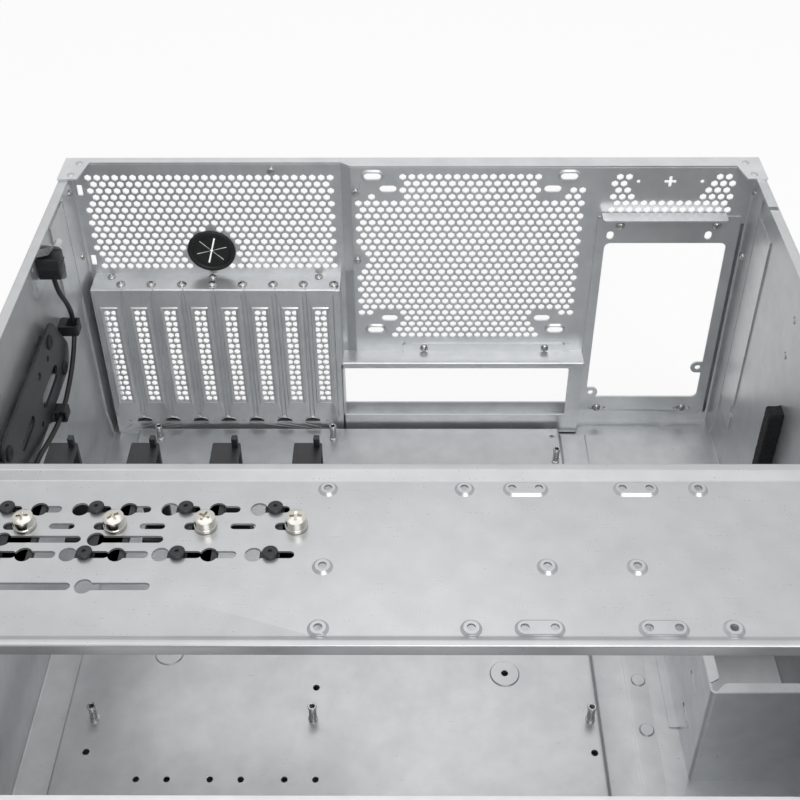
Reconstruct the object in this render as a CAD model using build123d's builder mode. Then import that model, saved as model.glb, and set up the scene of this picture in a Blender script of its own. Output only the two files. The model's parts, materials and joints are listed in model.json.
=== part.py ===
"""Five-unit rackmount server case with its top cover off. Millimetres, +Z up, front towards -Y."""

import os

from build123d import *

# Case
case_width = 440.0
case_height = 219.5
case_depth = 473.0
sheet = 1.2
bend_radius = 2.0
wall_flange = 6.5
rear_lip = 9.5
rivet_rise = 0.5

# Front panel
ear_span = 482.6
panel_sheet = 1.6
handle_reach = 35.0
handle_span = 140.0
handle_radius = 4.0
ear_hole_pitch_x = 465.1
ear_hole_pitch_z = 209.55
ear_inner_pitch_z = 120.65
ear_slot_width = 6.8
ear_slot_length = 10.3

# Rear wall
rear_recess = 10.6
left_set_back = 4.5
side_flange = 20.0
fan_z = 150.2
fan_pitch_small = 105.0
fan_pitch_large = 124.5
fan_slot_length = 11.0
fan_slot_width = 5.0
vent_pitch = 27.0
vent_hex = 13.7
fan_vent = (144.0, 126.0)
left_vent_z = 173.3
left_vent = (150.0, 66.0)
small_vent_pitch = 12.6
small_vent_hex = 5.8
grommet_z = 151.6
grommet_radius = 16.0

# Slots and connector opening
io_forward = 14.0
io_z = 41.6
io_opening = (158.75, 44.45)
io_frame_width = 168.0
io_shelf_z = 68.5
slot_count = 8
slot_pitch = 20.32
slot_first_offset = 10.3
slot_screw_offset = 9.45
slot_screw_back = 5.0
slot_shelf_z = 132.4
slot_cover_width = 18.4
slot_cover_sheet = 1.0
slot_frame_gap = 6.0
slot_frame_width = 166.0
slot_window_gaps = 4
slot_window_pitch = 20.0

# Power supply opening
psu_left_from_side = 99.5
psu_plate_size = (95.0, 178.0)
psu_plate_bottom = 7.0
psu_opening = (80.0, 136.0)
psu_opening_offset = 46.1
psu_opening_z = 93.5
psu_hole_offset = 9.1
psu_hole_z = 29.6
psu_hole_radius = 2.0

# Motherboard tray
tray_top = 9.0
tray_gap = 22.2
tray_width = 304.1
tray_depth = 330.0
board_offset = 22.9
board_pitches_x = (0.0, 124.46, 281.94)
board_front_row = -254.9
board_pitch_y = 227.33
board_middle_y = 72.39
board_corner_drop = 22.86
standoff_height = 12.6
standoff_flat = 5.5
standoff_bore = 1.5

# Retainer bar
bar_rear = -247.9
bar_front = -350.4
bar_top = 208.0
bar_dish = 3.0
bar_lip = 4.6
bar_flange = 6.0
boss_radius = 4.6
boss_hole = 2.0
boss_rise = 1.0
hold_down_pitch = 40.64
hold_down_offset = 29.8
hold_down_travel = 7.5
hold_down_gap = 0.3
hook_radius = 3.5
neck_radius = 1.7
hook_offset = -10.2
key_radius = 3.9
key_slot = 4.0
row_a = -274.4
row_b = -284.5
row_c = -292.1
row_d = -300.8
row_e = -318.2

# Datums
rear_y = (case_depth + panel_sheet + handle_reach) / 2
front_y = rear_y - case_depth
vent_y = rear_y - rear_recess
left_vent_y = vent_y + left_set_back
io_y = vent_y - io_forward
half_width = case_width / 2
inner_x = half_width - sheet
wall_top = case_height - sheet
bar_plate_top = bar_top - bar_dish
slot_frame_left = -half_width + slot_frame_gap
slot_frame_right = slot_frame_left + slot_frame_width
slot_first_x = slot_frame_left + slot_first_offset
left_vent_x = slot_frame_left + 84.8
grommet_x = slot_frame_left + 80.5
step_x = slot_frame_right + 6.0
io_frame_right = slot_frame_right + io_frame_width
io_x = slot_frame_right + 78.6
fan_x = slot_frame_right + 85.3
psu_left = half_width - psu_left_from_side
psu_opening_x = psu_left + psu_opening_offset
psu_hole_x = psu_left + psu_hole_offset
tray_left = -half_width + tray_gap
tray_right = tray_left + tray_width
board_columns = [slot_first_x + board_offset + pitch for pitch in board_pitches_x]
hold_down_first_x = slot_first_x + hold_down_offset

os.makedirs("parts", exist_ok=True)


def keep(piece, name):
    """Label a finished piece and write it."""
    piece.part.label = name
    export_step(piece.part, f"parts/{name}.step")


def slot_points(length, width):
    """Outline of a slot with three-sided ends."""
    end, side = length / 2, width / 2
    nose = side * 0.4142
    run = end - side + nose
    upper = [(end, nose), (run, side), (-run, side), (-end, nose)]
    return upper + [(-x, -y) for x, y in upper]


def slot_shape(length, width, mode=Mode.ADD):
    """Slot on the sketch in hand, in few facets."""
    return Polygon(*slot_points(length, width), mode=mode)


def round_shape(radius, sides=8, mode=Mode.ADD):
    """Round hole or boss on the sketch in hand, in few facets."""
    return RegularPolygon(radius, sides, major_radius=False, mode=mode)


def cut_corners(width, height, cut):
    """Outline of a rectangle with its corners cut off."""
    x, y = width / 2, height / 2
    upper = [(x, y - cut), (x - cut, y), (cut - x, y), (-x, y - cut)]
    return upper + [(-a, -b) for a, b in upper]


def rear_plane(y):
    """Upright plane facing the front, with X and Z as its own axes."""
    return Plane.XZ.offset(-y)


def staggered(width, height, pitch):
    """Centres of a staggered field of holes about its middle."""
    row_pitch = pitch * 0.866
    rows = int(height / 2 // row_pitch)
    centres = []
    for row in range(-rows, rows + 1):
        shift = pitch / 2 if row % 2 else 0.0
        count = int((width / 2 - shift) // pitch)
        for column in range(-count - (1 if shift else 0), count + 1):
            centres.append((column * pitch + shift, row * row_pitch))
    return centres


def fan_vent_holes():
    """Rear fan vent centres, without the corners that hold the mounting slots."""
    keep_out = fan_pitch_small / 2 - 12
    field = staggered(*fan_vent, vent_pitch)
    inside = [(x, z) for x, z in field if abs(x) < keep_out or abs(z) < keep_out]
    return [(fan_x + x, fan_z - 2.9 + z) for x, z in inside]


def left_vent_holes():
    """Vent above the slots, without the holes that the grommet takes."""
    field = [(left_vent_x + x, left_vent_z + z) for x, z in staggered(*left_vent, vent_pitch)]
    reach = grommet_radius + vent_hex + 1.0
    return [(x, z) for x, z in field if (x - grommet_x) ** 2 + (z - grommet_z) ** 2 > reach**2]


def psu_vent_holes():
    """Vent over the power supply, round the square knock-out."""
    knock_out_x, knock_out_z = psu_opening_x - 2.3, case_height - 12.5
    field = staggered(80.0, 36.0, small_vent_pitch)
    centres = [(psu_opening_x + x, case_height - 24.0 + z) for x, z in field]
    return [(x, z) for x, z in centres if abs(x - knock_out_x) > 24.0 or z < knock_out_z - 16.5]


# Chassis pan: floor, walls and top flanges
with BuildPart() as chassis_pan:
    with BuildSketch(rear_plane(rear_y)):
        with Locations((0, wall_top / 2)):
            outline = Rectangle(case_width, wall_top)
        fillet(outline.vertices(), radius=bend_radius)
        with Locations((0, wall_top / 2)):
            Rectangle(2 * inner_x, wall_top - 2 * sheet, mode=Mode.SUBTRACT)
        with Locations((0, wall_top)):
            Rectangle(case_width - 2 * wall_flange, 6 * sheet, mode=Mode.SUBTRACT)
    extrude(amount=case_depth)
    with BuildSketch(rear_plane(rear_y)):
        with Locations((0, sheet / 2 + rear_lip / 2)):
            Rectangle(2 * inner_x - 4, rear_lip)
    extrude(amount=sheet)
    with BuildSketch(rear_plane(front_y + sheet)):
        with Locations((0, (wall_top - sheet) / 2 + sheet / 2)):
            Rectangle(2 * inner_x + 1, wall_top - 2 * sheet)
        with Locations((0, wall_top / 2 + 12)):
            Rectangle(2 * inner_x - 24, wall_top, mode=Mode.SUBTRACT)
    extrude(amount=sheet)
    with BuildSketch(Plane.YZ.offset(half_width)):
        with Locations((vent_y - 110.6, wall_top - 34.5), (vent_y - 110.6, wall_top - 60.8)):
            RegularPolygon(2.6, 8)
    extrude(amount=-2 * sheet, mode=Mode.SUBTRACT)
keep(chassis_pan, "chassis_pan")

# Rear panel: one bent sheet with side flanges, a step and the top flange
with BuildPart() as rear_panel:
    with BuildSketch(Plane.XY.offset(sheet)):
        with BuildLine():
            Polyline(
                (-inner_x + sheet, vent_y - side_flange),
                (-inner_x + sheet, left_vent_y),
                (step_x - 3, left_vent_y),
                (step_x + 3, vent_y),
                (inner_x - sheet, vent_y),
                (inner_x - sheet, vent_y - side_flange),
            )
            offset(amount=sheet, side=Side.LEFT)
        make_face()
    extrude(amount=wall_top - 2 * sheet)
    tab_front = vent_y - 15.0
    with BuildSketch(Plane.XY.offset(wall_top - sheet)):
        with BuildLine():
            Polyline(
                (-half_width, rear_y),
                (half_width, rear_y),
                (half_width, tab_front),
                (half_width - 12.5, tab_front),
                (half_width - 16, vent_y),
                (step_x + 3, vent_y),
                (step_x - 3, left_vent_y),
                (16 - half_width, left_vent_y),
                (12.5 - half_width, tab_front),
                (-half_width, tab_front),
                close=True,
            )
        make_face()
    extrude(amount=2 * sheet)
    with BuildSketch(Plane.XY.offset(wall_top - sheet)):
        for side in (-1, 1):
            with Locations((side * (half_width - wall_flange / 2), rear_y - 25)):
                Rectangle(wall_flange, 60)
        with Locations((0, vent_y - 10)):
            Rectangle(case_width, 20)
        with Locations((0, rear_y)):
            Rectangle(case_width, 2 * (rear_recess - left_set_back - sheet))
        with Locations(((half_width + step_x) / 2 + 3, rear_y)):
            Rectangle(half_width - step_x, 2 * (rear_recess - sheet))
    extrude(amount=sheet, mode=Mode.SUBTRACT)
    with BuildSketch(rear_plane(rear_y)):
        with Locations(*fan_vent_holes(), *left_vent_holes()):
            RegularPolygon(vent_hex, 6, rotation=30)
        with Locations(*psu_vent_holes()):
            RegularPolygon(small_vent_hex, 6, rotation=30)
        for pitch in (fan_pitch_small, fan_pitch_large):
            with Locations((fan_x, fan_z)):
                with GridLocations(pitch, pitch, 2, 2):
                    SlotOverall(fan_slot_length, fan_slot_width)
        with Locations((grommet_x, grommet_z)):
            round_shape(grommet_radius - 2, 12)
        with Locations((slot_frame_left + 0.6, 199.0), (slot_frame_left + 0.6, 144.0)):
            Rectangle(3.4, 8.0)
        with Locations((psu_opening_x - 2.8, case_height - 11.5)):
            Rectangle(7.5, 2)
            Rectangle(2, 7.5)
        slot_cut = (slot_frame_right - slot_frame_left - 2 * sheet, slot_shelf_z - 3 * sheet)
        with Locations(((slot_frame_left + slot_frame_right) / 2, slot_cut[1] / 2 + 2 * sheet)):
            Rectangle(*slot_cut)
        io_cut = (io_frame_right - slot_frame_right - 2 * sheet, io_shelf_z - 3 * sheet)
        with Locations(((io_frame_right + slot_frame_right) / 2, io_cut[1] / 2 + 2 * sheet)):
            Rectangle(*io_cut)
        with Locations((psu_opening_x, psu_opening_z)):
            Rectangle(psu_opening[0] + 6, psu_opening[1] + 8)
    extrude(amount=rear_recess + 3, mode=Mode.SUBTRACT)
keep(rear_panel, "rear_panel")

# Forward frame: slot shelf, slot openings, connector opening
with BuildPart() as io_frame:
    slot_rect = (slot_frame_right - slot_frame_left, slot_shelf_z - sheet)
    slot_middle = ((slot_frame_left + slot_frame_right) / 2, (slot_shelf_z + sheet) / 2)
    io_rect = (io_frame_right - slot_frame_right + sheet, io_shelf_z - sheet)
    io_middle = ((io_frame_right + slot_frame_right - sheet) / 2, (io_shelf_z + sheet) / 2)
    with BuildSketch(rear_plane(left_vent_y)):
        with Locations(slot_middle):
            Rectangle(*slot_rect)
        offset(amount=-sheet, mode=Mode.SUBTRACT)
    extrude(amount=io_forward + left_set_back)
    with BuildSketch(rear_plane(vent_y)):
        with Locations(io_middle):
            Rectangle(*io_rect)
        offset(amount=-sheet, mode=Mode.SUBTRACT)
    extrude(amount=io_forward)
    with BuildSketch(rear_plane(io_y)):
        with Locations(slot_middle):
            Rectangle(*slot_rect)
        with Locations(io_middle):
            Rectangle(*io_rect)
        with Locations((io_x, io_z)):
            Rectangle(*io_opening, mode=Mode.SUBTRACT)
        for index in range(slot_count):
            with Locations((slot_first_x + index * slot_pitch, (18 + slot_shelf_z - 8) / 2)):
                Rectangle(13.0, slot_shelf_z - 8 - 18, mode=Mode.SUBTRACT)
        for index in range(slot_count - 1):
            with Locations((slot_first_x + (index + 0.5) * slot_pitch, 15.0)):
                Rectangle(7.0, 4.0, mode=Mode.SUBTRACT)
    extrude(amount=-sheet)
    with BuildSketch(rear_plane(vent_y)):
        with Locations((fan_x + 13.5, io_shelf_z + 3.0)):
            Polygon(*cut_corners(114.0, 7.4, 1.5))
    extrude(amount=sheet)
keep(io_frame, "io_frame")


def slot_cover(x):
    """Perforated slot cover with a raised frame, a top tab and a tapered bottom tab."""
    with BuildPart() as cover:
        low, high = tray_top + 9.0, slot_shelf_z + slot_cover_sheet
        with BuildSketch(rear_plane(io_y)):
            with BuildLine():
                Polyline(
                    (x - slot_cover_width / 2, high),
                    (x - slot_cover_width / 2, low),
                    (x - 5.5, low),
                    (x - 4.0, low - 7.0),
                    (x + 4.0, low - 7.0),
                    (x + 5.5, low),
                    (x + slot_cover_width / 2, low),
                    (x + slot_cover_width / 2, high),
                    close=True,
                )
            make_face()
        extrude(amount=slot_cover_sheet)
        middle = (x, (low + high) / 2 - 1)
        with BuildSketch(rear_plane(io_y - slot_cover_sheet)):
            with Locations(middle):
                Rectangle(12.6, 94.0)
                Rectangle(10.2, 91.6, mode=Mode.SUBTRACT)
        extrude(amount=0.8)
        with BuildSketch(rear_plane(io_y)):
            with Locations(middle):
                with GridLocations(0, slot_window_pitch, 1, slot_window_gaps):
                    RegularPolygon(4.7, 6, rotation=30)
        extrude(amount=2 * slot_cover_sheet, mode=Mode.SUBTRACT)
        with BuildSketch(Plane.XY.offset(slot_shelf_z)):
            with Locations((x + 1.0, io_y + 4.5)):
                Rectangle(slot_cover_width + 1.6, 11.0)
            with Locations((x + slot_screw_offset, io_y + slot_screw_back + 3)):
                Rectangle(3.6, 6.0 + 3.6, mode=Mode.SUBTRACT)
        extrude(amount=slot_cover_sheet)
    return cover


for number in range(slot_count):
    keep(slot_cover(slot_first_x + number * slot_pitch), f"slot_cover_{number + 1}")


def head(radius, height, plane):
    """Six-sided screw or rivet head on the given plane."""
    with BuildSketch(plane) as face:
        RegularPolygon(radius, 6)
    extrude(face.sketch, amount=height)


# Screws in the slot covers' tabs and in the slot shelf
with BuildPart() as slot_screws:
    for index in range(slot_count):
        at = (slot_first_x + index * slot_pitch + slot_screw_offset, io_y + slot_screw_back)
        head(3.4, 2.2, Plane((*at, slot_shelf_z + slot_cover_sheet)))
keep(slot_screws, "slot_screws")
with BuildPart() as slot_shelf_screws:
    for x in (11.6, 79.8, 151.4):
        head(3.0, 1.8, Plane((slot_frame_left + x, vent_y + 0.6, slot_shelf_z)))
keep(slot_shelf_screws, "slot_shelf_screws")

# Power supply plate
with BuildPart() as psu_plate:
    plate_middle = (psu_left + psu_plate_size[0] / 2, psu_plate_bottom + psu_plate_size[1] / 2)
    with BuildSketch(rear_plane(vent_y)):
        with Locations(plate_middle):
            Polygon(*cut_corners(*psu_plate_size, 4))
        with Locations((psu_opening_x, psu_opening_z)):
            Polygon(*cut_corners(*psu_opening, 4), mode=Mode.SUBTRACT)
        with Locations((psu_hole_x, psu_hole_z), (psu_hole_x + 74, psu_hole_z + 24)):
            round_shape(5.0, 12)
        with Locations(
            (psu_hole_x, psu_hole_z),
            (psu_hole_x + 74, psu_hole_z + 24),
            (psu_hole_x, psu_hole_z + 138),
            (psu_hole_x + 64, psu_hole_z + 138),
        ):
            Circle(psu_hole_radius, mode=Mode.SUBTRACT)
        with Locations((psu_hole_x + 56, psu_plate_bottom)):
            round_shape(4, mode=Mode.SUBTRACT)
    extrude(amount=sheet)
    ledge_z = psu_plate_bottom + psu_plate_size[1]
    with BuildSketch(rear_plane(vent_y)):
        with Locations((psu_opening_x - 4, ledge_z - sheet / 2)):
            Rectangle(80.0, sheet)
    extrude(amount=rear_recess)
keep(psu_plate, "psu_plate")
with BuildPart() as psu_plate_screws:
    for x, z in ((15.0, 175.2), (77.5, 175.6), (14.8, 14.8), (76.9, 14.8)):
        head(3.2, 2.0, Plane((psu_left + x, vent_y - sheet, z), z_dir=(0, -1, 0)))
keep(psu_plate_screws, "psu_plate_screws")

# Rubber grommet with six slits
with BuildPart() as cable_grommet:
    grommet_layers = (
        (left_vent_y, grommet_radius, 1.8),
        (left_vent_y + sheet, grommet_radius - 2.0, sheet),
        (left_vent_y + sheet + 1, grommet_radius, 1.0),
    )
    for layer_y, radius, thick in grommet_layers:
        with BuildSketch(rear_plane(layer_y)):
            with Locations((grommet_x, grommet_z)):
                round_shape(radius, 12)
        extrude(amount=thick)
    with BuildSketch(rear_plane(left_vent_y)):
        with Locations((grommet_x, grommet_z)):
            round_shape(grommet_radius - 4, 12)
    extrude(amount=1.8, mode=Mode.SUBTRACT)
    with BuildSketch(rear_plane(left_vent_y + 5)):
        with Locations((grommet_x, grommet_z)):
            with PolarLocations(0, 3):
                Rectangle(1.7 * (grommet_radius - 4), 1.0)
    extrude(amount=8, mode=Mode.SUBTRACT)
keep(cable_grommet, "cable_grommet")

# Screws of the rear panel: side flanges and the lip over the connector opening
with BuildPart() as rear_panel_screws:
    flange_x = inner_x - sheet
    for z in (202.0, 153.0):
        head(3.0, 1.8, Plane((-flange_x, vent_y - 4, z), z_dir=(1, 0, 0)))
        head(3.0, 1.8, Plane((flange_x, vent_y - 4, z), z_dir=(-1, 0, 0)))
    for x in (-28.7, 56.1):
        head(2.8, 1.8, Plane((fan_x + x, vent_y - sheet, io_shelf_z + 3.2), z_dir=(0, -1, 0)))
keep(rear_panel_screws, "rear_panel_screws")
with BuildPart() as corner_rivets:
    for side in (-1, 1):
        for inset, y in ((9.8, vent_y + 4.2), (7.4, vent_y - 9.6)):
            head(2.4, rivet_rise, Plane((side * (half_width - inset), y, case_height)))
keep(corner_rivets, "corner_rivets")

# Stiffener plates on the side walls
stiff_front = vent_y - side_flange
with BuildPart() as left_stiffener:
    with BuildSketch(Plane.YZ.offset(-inner_x)):
        with Locations((stiff_front - 15.2, 170.0)):
            Rectangle(30.0, 74.0)
    extrude(amount=1.0)
keep(left_stiffener, "left_stiffener")
with BuildPart() as right_stiffener:
    with BuildSketch(Plane.YZ.offset(inner_x)):
        with Locations((stiff_front - 14.2, 116.0)):
            Rectangle(28.0, 156.0)
        with Locations((stiff_front, 42.0), (stiff_front - 28.2, 54.0)):
            Rectangle(8.0, 8.0, mode=Mode.SUBTRACT)
    extrude(amount=-1.0)
keep(right_stiffener, "right_stiffener")

# Motherboard tray: raised sheet with a joggled right edge
tray_rear = io_y - 1.2
disc_spots = [(tray_left + 252.2, vent_y - 225.0), (tray_left + 52.8, vent_y - 210.7)]
with BuildPart() as motherboard_tray:
    with BuildSketch(rear_plane(tray_rear)):
        with BuildLine():
            Polyline(
                (tray_left, sheet),
                (tray_left, tray_top),
                (tray_right, tray_top),
                (tray_right + 19.7, 2 * sheet),
                (tray_right + 32.4, 2 * sheet),
            )
            offset(amount=sheet, side=Side.RIGHT)
        make_face()
    extrude(amount=tray_depth)
    with BuildSketch(Plane.XY.offset(tray_top)):
        with Locations(*disc_spots):
            round_shape(8.8)
    extrude(amount=0.8)
    with BuildSketch(Plane.XY.offset(tray_top + 2)):
        with Locations(*disc_spots):
            RegularPolygon(2.2, 8)
        for x, y in ((142.0, -234.4), (16.4, -275.9), (299.0, -275.9)):
            with Locations((tray_left + x, vent_y + y)):
                RegularPolygon(2.0, 6)
        for x in (47.1, 63.9, 87.5, 104.3, 128.1, 145.1):
            with Locations((tray_left + x, vent_y - 292.2)):
                RegularPolygon(1.8, 6)
    extrude(amount=-2 - 2 * sheet, mode=Mode.SUBTRACT)
keep(motherboard_tray, "motherboard_tray")

# Standoffs on the tray
board_rear_row = board_front_row + board_pitch_y
with BuildPart() as standoffs:
    for column, x in enumerate(board_columns):
        rear_row = board_rear_row - (board_corner_drop if column == 2 else 0)
        for y in (rear_row, board_front_row + board_middle_y, board_front_row):
            with BuildSketch(Plane((x, vent_y + y, tray_top))):
                RegularPolygon(standoff_flat / 2, 6, major_radius=False)
                Circle(standoff_bore, mode=Mode.SUBTRACT)
            extrude(amount=standoff_height)
keep(standoffs, "standoffs")


def hold_down_x(index):
    """Screw axis of a hold-down."""
    return hold_down_first_x + index * hold_down_pitch


# Retainer bar: dished sheet with end flanges, keyholes, slots and raised bosses
with BuildPart() as retainer_bar:
    with BuildSketch(Plane.YZ.offset(-inner_x)):
        with BuildLine():
            Polyline(
                (vent_y + bar_rear, bar_top - bar_flange),
                (vent_y + bar_rear, bar_top),
                (vent_y + bar_rear - bar_lip, bar_top),
                (vent_y + bar_rear - bar_lip - 4.2, bar_plate_top),
                (vent_y + bar_front + bar_lip + 2.2, bar_plate_top),
                (vent_y + bar_front + 3.0, bar_top),
                (vent_y + bar_front, bar_top),
                (vent_y + bar_front, bar_top - bar_flange),
            )
            offset(amount=sheet, side=Side.LEFT)
        make_face()
    extrude(amount=2 * inner_x)
    bar_middle = vent_y + (bar_rear + bar_front) / 2
    for side in (-1, 1):
        with BuildSketch(Plane.YZ.offset(side * inner_x)):
            with Locations((bar_middle, bar_plate_top - 16)):
                Rectangle(76, 30)
        extrude(amount=-side * sheet)
    boss_rows = (bar_rear - 14.1, bar_front + 10.6)
    boss_middle = bar_front + 42.9
    singles = [(x, y) for x in (134.9, 197.9, 305.7) for y in boss_rows]
    singles += [(x, boss_middle) for x in (134.9, 232.1, 270.9)]
    doubles = [(x, y) for x in (226.1, 277.0) for y in boss_rows]
    with BuildSketch(Plane.XY.offset(bar_plate_top)):
        for x, y in singles:
            with Locations((hold_down_first_x + x, vent_y + y)):
                round_shape(boss_radius)
        for x, y in doubles:
            with Locations((hold_down_first_x + x, vent_y + y)):
                slot_shape(21.0, 2 * boss_radius)
    extrude(amount=boss_rise)
    with BuildSketch(Plane.XY.offset(bar_top + 1)):
        for x, y in singles:
            with Locations((hold_down_first_x + x, vent_y + y)):
                RegularPolygon(boss_hole, 6)
        for x, y in doubles:
            with Locations((hold_down_first_x + x, vent_y + y)):
                with GridLocations(12.4, 0, 2, 1):
                    RegularPolygon(boss_hole, 6)
        for index in range(4):
            screw_x = hold_down_x(index)
            key_x = screw_x + hook_offset - hold_down_travel
            with Locations((key_x + 6, vent_y + row_a)):
                slot_shape(12 + key_slot, key_slot)
            with Locations((key_x, vent_y + row_a), (screw_x + 4.3, vent_y + row_a)):
                round_shape(key_radius)
            with Locations((screw_x + 8.5, vent_y + row_a)):
                slot_shape(8 + key_slot, key_slot)
            with Locations((screw_x - hold_down_travel / 2, vent_y + row_b)):
                slot_shape(hold_down_travel + key_slot + 0.4, key_slot + 0.4)
            with Locations((screw_x + 16.7, vent_y + row_b)):
                slot_shape(11.5, key_slot - 0.6)
            with Locations((key_x + 8, vent_y + row_d)):
                slot_shape(16 + key_slot, key_slot)
            with Locations((key_x, vent_y + row_d)):
                round_shape(key_radius)
        for y in (row_c, row_e):
            for x in (hold_down_first_x - 8.1, hold_down_first_x + 33.5):
                with Locations((x, vent_y + y)):
                    round_shape(key_radius)
                with Locations((x + 14, vent_y + y)):
                    slot_shape(28 + key_slot, key_slot)
    extrude(amount=-8, mode=Mode.SUBTRACT)
keep(retainer_bar, "retainer_bar")
with BuildPart() as retainer_bar_screws:
    for side in (-1, 1):
        for y in (-22, 22):
            at = (side * (inner_x - sheet), bar_middle + y, bar_plate_top - 20)
            head(3.4, 2.2, Plane(at, z_dir=(-side, 0, 0)))
keep(retainer_bar_screws, "retainer_bar_screws")


def hold_down(x):
    """Sliding card hold-down: slider under the bar, two hooks above it, arm and leg behind."""
    slider_top = bar_plate_top - sheet - hold_down_gap
    with BuildPart() as holder:
        with BuildSketch(Plane.YZ.offset(x - 7)):
            with BuildLine():
                Polyline(
                    (vent_y + row_d - 6, slider_top),
                    (vent_y + bar_rear - 12, slider_top),
                    (vent_y + bar_rear - 3, 192.0),
                    (vent_y + bar_rear + 30, 192.0),
                    (vent_y + bar_rear + 30, 131.0),
                )
                offset(amount=3.0, side=Side.RIGHT)
            make_face()
        extrude(amount=14)
        with BuildSketch(Plane.XY.offset(slider_top - 3)):
            with Locations((x + hook_offset / 2, vent_y + (row_a + row_d) / 2)):
                Rectangle(-hook_offset + 10, row_a - row_d + 12)
        extrude(amount=3)
        with BuildSketch(Plane.XY.offset(slider_top)):
            with Locations((x, vent_y + row_b)):
                round_shape(1.5)
        extrude(amount=-3, mode=Mode.SUBTRACT)
        hook_spots = [(x + hook_offset, vent_y + row) for row in (row_a, row_d)]
        with BuildSketch(Plane.XY.offset(slider_top)):
            with Locations(*hook_spots):
                RegularPolygon(neck_radius, 6)
        extrude(amount=sheet + 2 * hold_down_gap)
        with BuildSketch(Plane.XY.offset(bar_plate_top + hold_down_gap)):
            with Locations(*hook_spots):
                RegularPolygon(hook_radius, 8)
        extrude(amount=2.4, taper=14)
        with BuildSketch(Plane.XY.offset(131.0)):
            with Locations((x, vent_y + bar_rear + 25)):
                Rectangle(17, 13)
        extrude(amount=-5)
        with BuildSketch(Plane.XY.offset(192.0)):
            with Locations((x + 4.5, vent_y + bar_rear + 28)):
                Rectangle(3.0, 3.4)
        extrude(amount=5.5)
    return holder


def hold_down_screw(x):
    """Bright clamping screw with a washer face, a barrel head and a shank in the slider."""
    face = bar_plate_top + hold_down_gap
    with BuildPart() as screw:
        for base, top, radius in ((-6.0, 0.0, 1.5), (0.0, 1.6, 5.2), (1.6, 6.8, 4.7)):
            with BuildSketch(Plane.XY.offset(face + base)):
                with Locations((x, vent_y + row_b)):
                    round_shape(radius, 8 if base < 0 else 10)
            extrude(amount=top - base)
        with BuildSketch(Plane.XY.offset(face + 6.8)):
            with Locations((x, vent_y + row_b)):
                Rectangle(5.0, 1.0)
                Rectangle(1.0, 5.0)
        extrude(amount=-1.2, mode=Mode.SUBTRACT)
    return screw


for number in range(4):
    keep(hold_down(hold_down_x(number)), f"hold_down_{number + 1}")
    keep(hold_down_screw(hold_down_x(number)), f"hold_down_screw_{number + 1}")

# Lid switch on the left wall
switch_y = vent_y - 82.0
switch_z = wall_top - 12.3
with BuildPart() as switch_bracket:
    with BuildSketch(Plane.XY.offset(switch_z - 18)):
        with BuildLine():
            Polyline(
                (-inner_x, switch_y - 16),
                (-inner_x, switch_y + 7),
                (-inner_x + 14, switch_y + 7),
            )
            offset(amount=1.0, side=Side.RIGHT)
        make_face()
    extrude(amount=24)
keep(switch_bracket, "switch_bracket")
with BuildPart() as switch_body:
    with BuildSketch(Plane.XY.offset(switch_z - 10)):
        with Locations((-inner_x + 8, switch_y)):
            Rectangle(13.0, 12.0)
    extrude(amount=14)
    with BuildSketch(rear_plane(switch_y)):
        with Locations((-inner_x + 4, switch_z - 11.2), (-inner_x + 11, switch_z - 11.2)):
            Rectangle(1.6, 2.4)
    extrude(amount=0.6, both=True)
keep(switch_body, "switch_body")
with BuildPart() as switch_lever:
    with BuildSketch(Plane.XZ.offset(-(switch_y + 4))):
        with BuildLine():
            Polyline(
                (-inner_x + 2.2, switch_z + 4.4),
                (-inner_x + 9.0, switch_z + 6.4),
                (-inner_x + 14.0, switch_z + 12.6),
                (-inner_x + 17.0, switch_z + 11.4),
            )
            offset(amount=0.6, side=Side.LEFT)
        make_face()
    extrude(amount=8)
keep(switch_lever, "switch_lever")

# Two-wire lead down the wall to its clips and plug
lead_x = -inner_x + 8.8
lead_route = [
    (-inner_x + 8, switch_y, switch_z - 10),
    (-inner_x + 8, switch_y, switch_z - 22),
    (lead_x, vent_y - 69, switch_z - 44),
    (lead_x, vent_y - 68, switch_z - 60),
    (lead_x, vent_y - 79, switch_z - 72),
    (lead_x, vent_y - 97, switch_z - 81),
    (lead_x, vent_y - 120, switch_z - 86),
    (lead_x, vent_y - 144, switch_z - 82),
    (lead_x, vent_y - 168, switch_z - 74),
    (lead_x, vent_y - 190, switch_z - 72),
    (lead_x, vent_y - 204, switch_z - 76),
    (lead_x, vent_y - 216, switch_z - 76),
]
lead_radius = 1.5


with BuildPart() as switch_lead:
    with BuildLine() as route:
        Polyline(*lead_route)
    with BuildSketch(Plane(lead_route[0], z_dir=(0, 0, -1))):
        RegularPolygon(lead_radius, 6)
    sweep(transition=Transition.RIGHT)
lead_length = sum(edge.length for edge in route.edges())
print("lead length", round(lead_length, 1), "volume", round(switch_lead.part.volume, 1))
keep(switch_lead, "switch_lead")
with BuildPart() as lead_plug:
    plug_y = lead_route[-1][1]
    with BuildSketch(rear_plane(plug_y)):
        with Locations((lead_x, lead_route[-1][2])):
            Rectangle(6.0, 3.6)
    extrude(amount=14)
keep(lead_plug, "lead_plug")
clip_first = (lead_route[3][1] - 1.4, lead_route[3][2], 10.0, 7.0, 7.6, 9.0)
clip_second = (lead_route[6][1], lead_route[6][2] + 0.4, 7.6, 8.4, 9.0, 6.0)
with BuildPart() as lead_clips:
    for y, z, clip_wide, clip_high, gap_wide, gap_high in (clip_first, clip_second):
        with BuildSketch(Plane.YZ.offset(-inner_x)):
            with Locations((y, z)):
                Rectangle(clip_wide, clip_high)
        extrude(amount=lead_x + inner_x + 3.4)
        with BuildSketch(Plane.YZ.offset(-inner_x + 5)):
            with Locations((y, z)):
                Rectangle(gap_wide, gap_high)
        extrude(amount=lead_x + inner_x - 5 + 2.4, mode=Mode.SUBTRACT)
keep(lead_clips, "lead_clips")

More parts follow.
